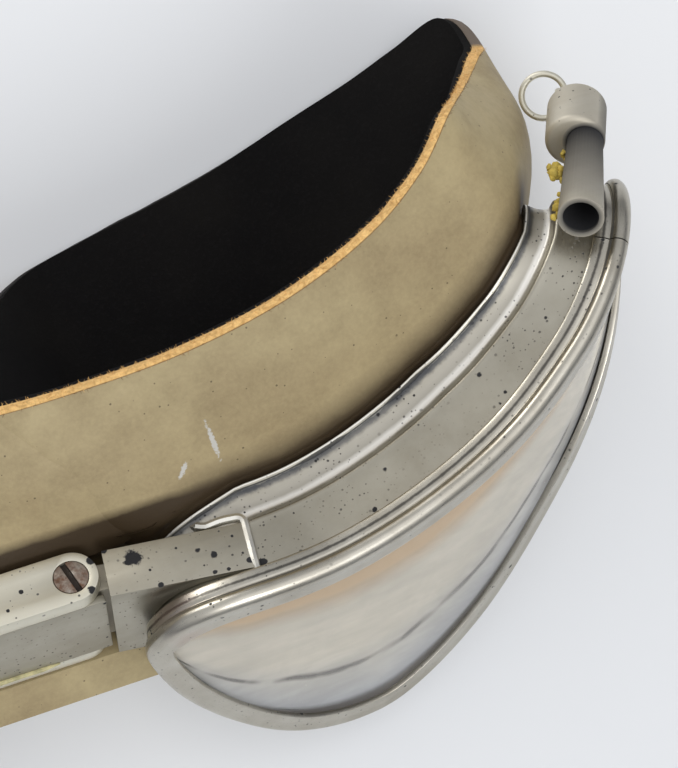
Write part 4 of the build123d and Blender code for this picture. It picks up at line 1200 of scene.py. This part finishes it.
def bridge_pieces():
    """Bevelled copies of the links, the web and the pivot screws, and the filler between web and bottom link."""
    for node, material, slot_name, width in (
            ("bridge_top_link", link_metal, "top_link_plate", 0.3),
            ("bridge_bottom_link", link_metal, "nickel_plate", 0.2),
            ("bridge_web", bracket_metal, "nickel_plate", 0.15), ("pivot_screws", rust, "screw_steel", 0.12)):
        belongs(cad_copy(node, node + "_skin", material, width), "bridge", slot_name)
    path = []
    for x in FILLER_PLACES:
        spot = Vector((x, FILLER_Y, FILLER_Z))
        path.append(link_point(x, spot.y + FILLER_WAVER[0] * noise.noise(spot),
                               spot.z + FILLER_WAVER[1] * noise.noise(spot * 2)))
    packing = finish_mesh(wire_mesh(path, FILLER_RADIUS), "web_filler", 1, filler)
    belongs(packing, "bridge", None)


bridge_pieces()


# Studio: floor, sky and lamps. Each lamp has a name, place, size, power and tint.
FLOOR_TINT, FLOOR_GLOW_TINT = (0.78, 0.79, 0.80, 1), (0.80, 0.81, 0.83, 1)
FLOOR_SIZE, FLOOR_GLOW, SKY_STRENGTH = 3.0, 0.05, 0.95
SKY = ((0.0, (0.13, 0.14, 0.17)), (0.25, (0.26, 0.27, 0.30)), (0.55, (0.60, 0.61, 0.63)), (1.0, (0.95, 0.96, 1.0)))
LAMP_AIM = Vector((0.03, 0, 0.03))
LAMPS = (
    ("key", (-0.30, 0.85, 0.34), 0.35, 2.6, (1.0, 0.98, 0.95)),
    ("front", (0.05, -0.50, 0.75), 0.28, 2.2, (0.98, 0.99, 1.0)),
    ("top", (0.25, -0.05, 0.9), 0.8, 1.0, (1.0, 1.0, 1.0)))


def lay_floor():
    """Pale floor that glows a little for the eye and in reflections, and keeps its shadows."""
    material, tree = blank("pale_floor")
    path = make(tree, "ShaderNodeLightPath").outputs
    seen = most(tree, path["Is Camera Ray"], most(tree, path["Is Glossy Ray"], path["Is Transmission Ray"]))
    diffuse = make(tree, "ShaderNodeBsdfDiffuse", Color=FLOOR_TINT)
    glow = make(tree, "ShaderNodeEmission", Color=FLOOR_GLOW_TINT, Strength=FLOOR_GLOW)
    lit = make(tree, "ShaderNodeAddShader", _0=diffuse.outputs[0], _1=glow.outputs[0])
    chosen = make(tree, "ShaderNodeMixShader", _0=seen, _1=diffuse.outputs[0], _2=lit.outputs[0])
    surface(tree, chosen.outputs[0])
    bpy.ops.mesh.primitive_plane_add(size=FLOOR_SIZE, location=(0, 0, 0))
    floor = bpy.context.active_object
    floor.name = "floor"
    floor.data.materials.append(material)


def light_up():
    """Grey sky that is bright overhead, and three broad lamps."""
    world = bpy.data.worlds.new("studio")
    bpy.context.scene.world = world
    world.use_nodes = True
    tree = world.node_tree
    tree.nodes.clear()
    rise = make(tree, "ShaderNodeSeparateXYZ", Vector=make(tree, "ShaderNodeTexCoord").outputs["Generated"]).outputs[2]
    background = make(tree, "ShaderNodeBackground", Color=ramp(tree, rise, *SKY), Strength=SKY_STRENGTH)
    output = tree.nodes.new("ShaderNodeOutputWorld")
    tree.links.new(background.outputs[0], output.inputs["Surface"])

    for name, place, size, power, tint in LAMPS:
        data = bpy.data.lights.new(name, "AREA")
        data.size = size
        data.energy = power
        data.color = tint
        lamp = bpy.data.objects.new(name, data)
        lamp.location = place
        lamp.rotation_euler = (LAMP_AIM - Vector(place)).to_track_quat("-Z", "Y").to_euler()
        bpy.context.scene.collection.objects.link(lamp)


lay_floor()
light_up()
bpy.context.scene.view_settings.view_transform = "Standard"
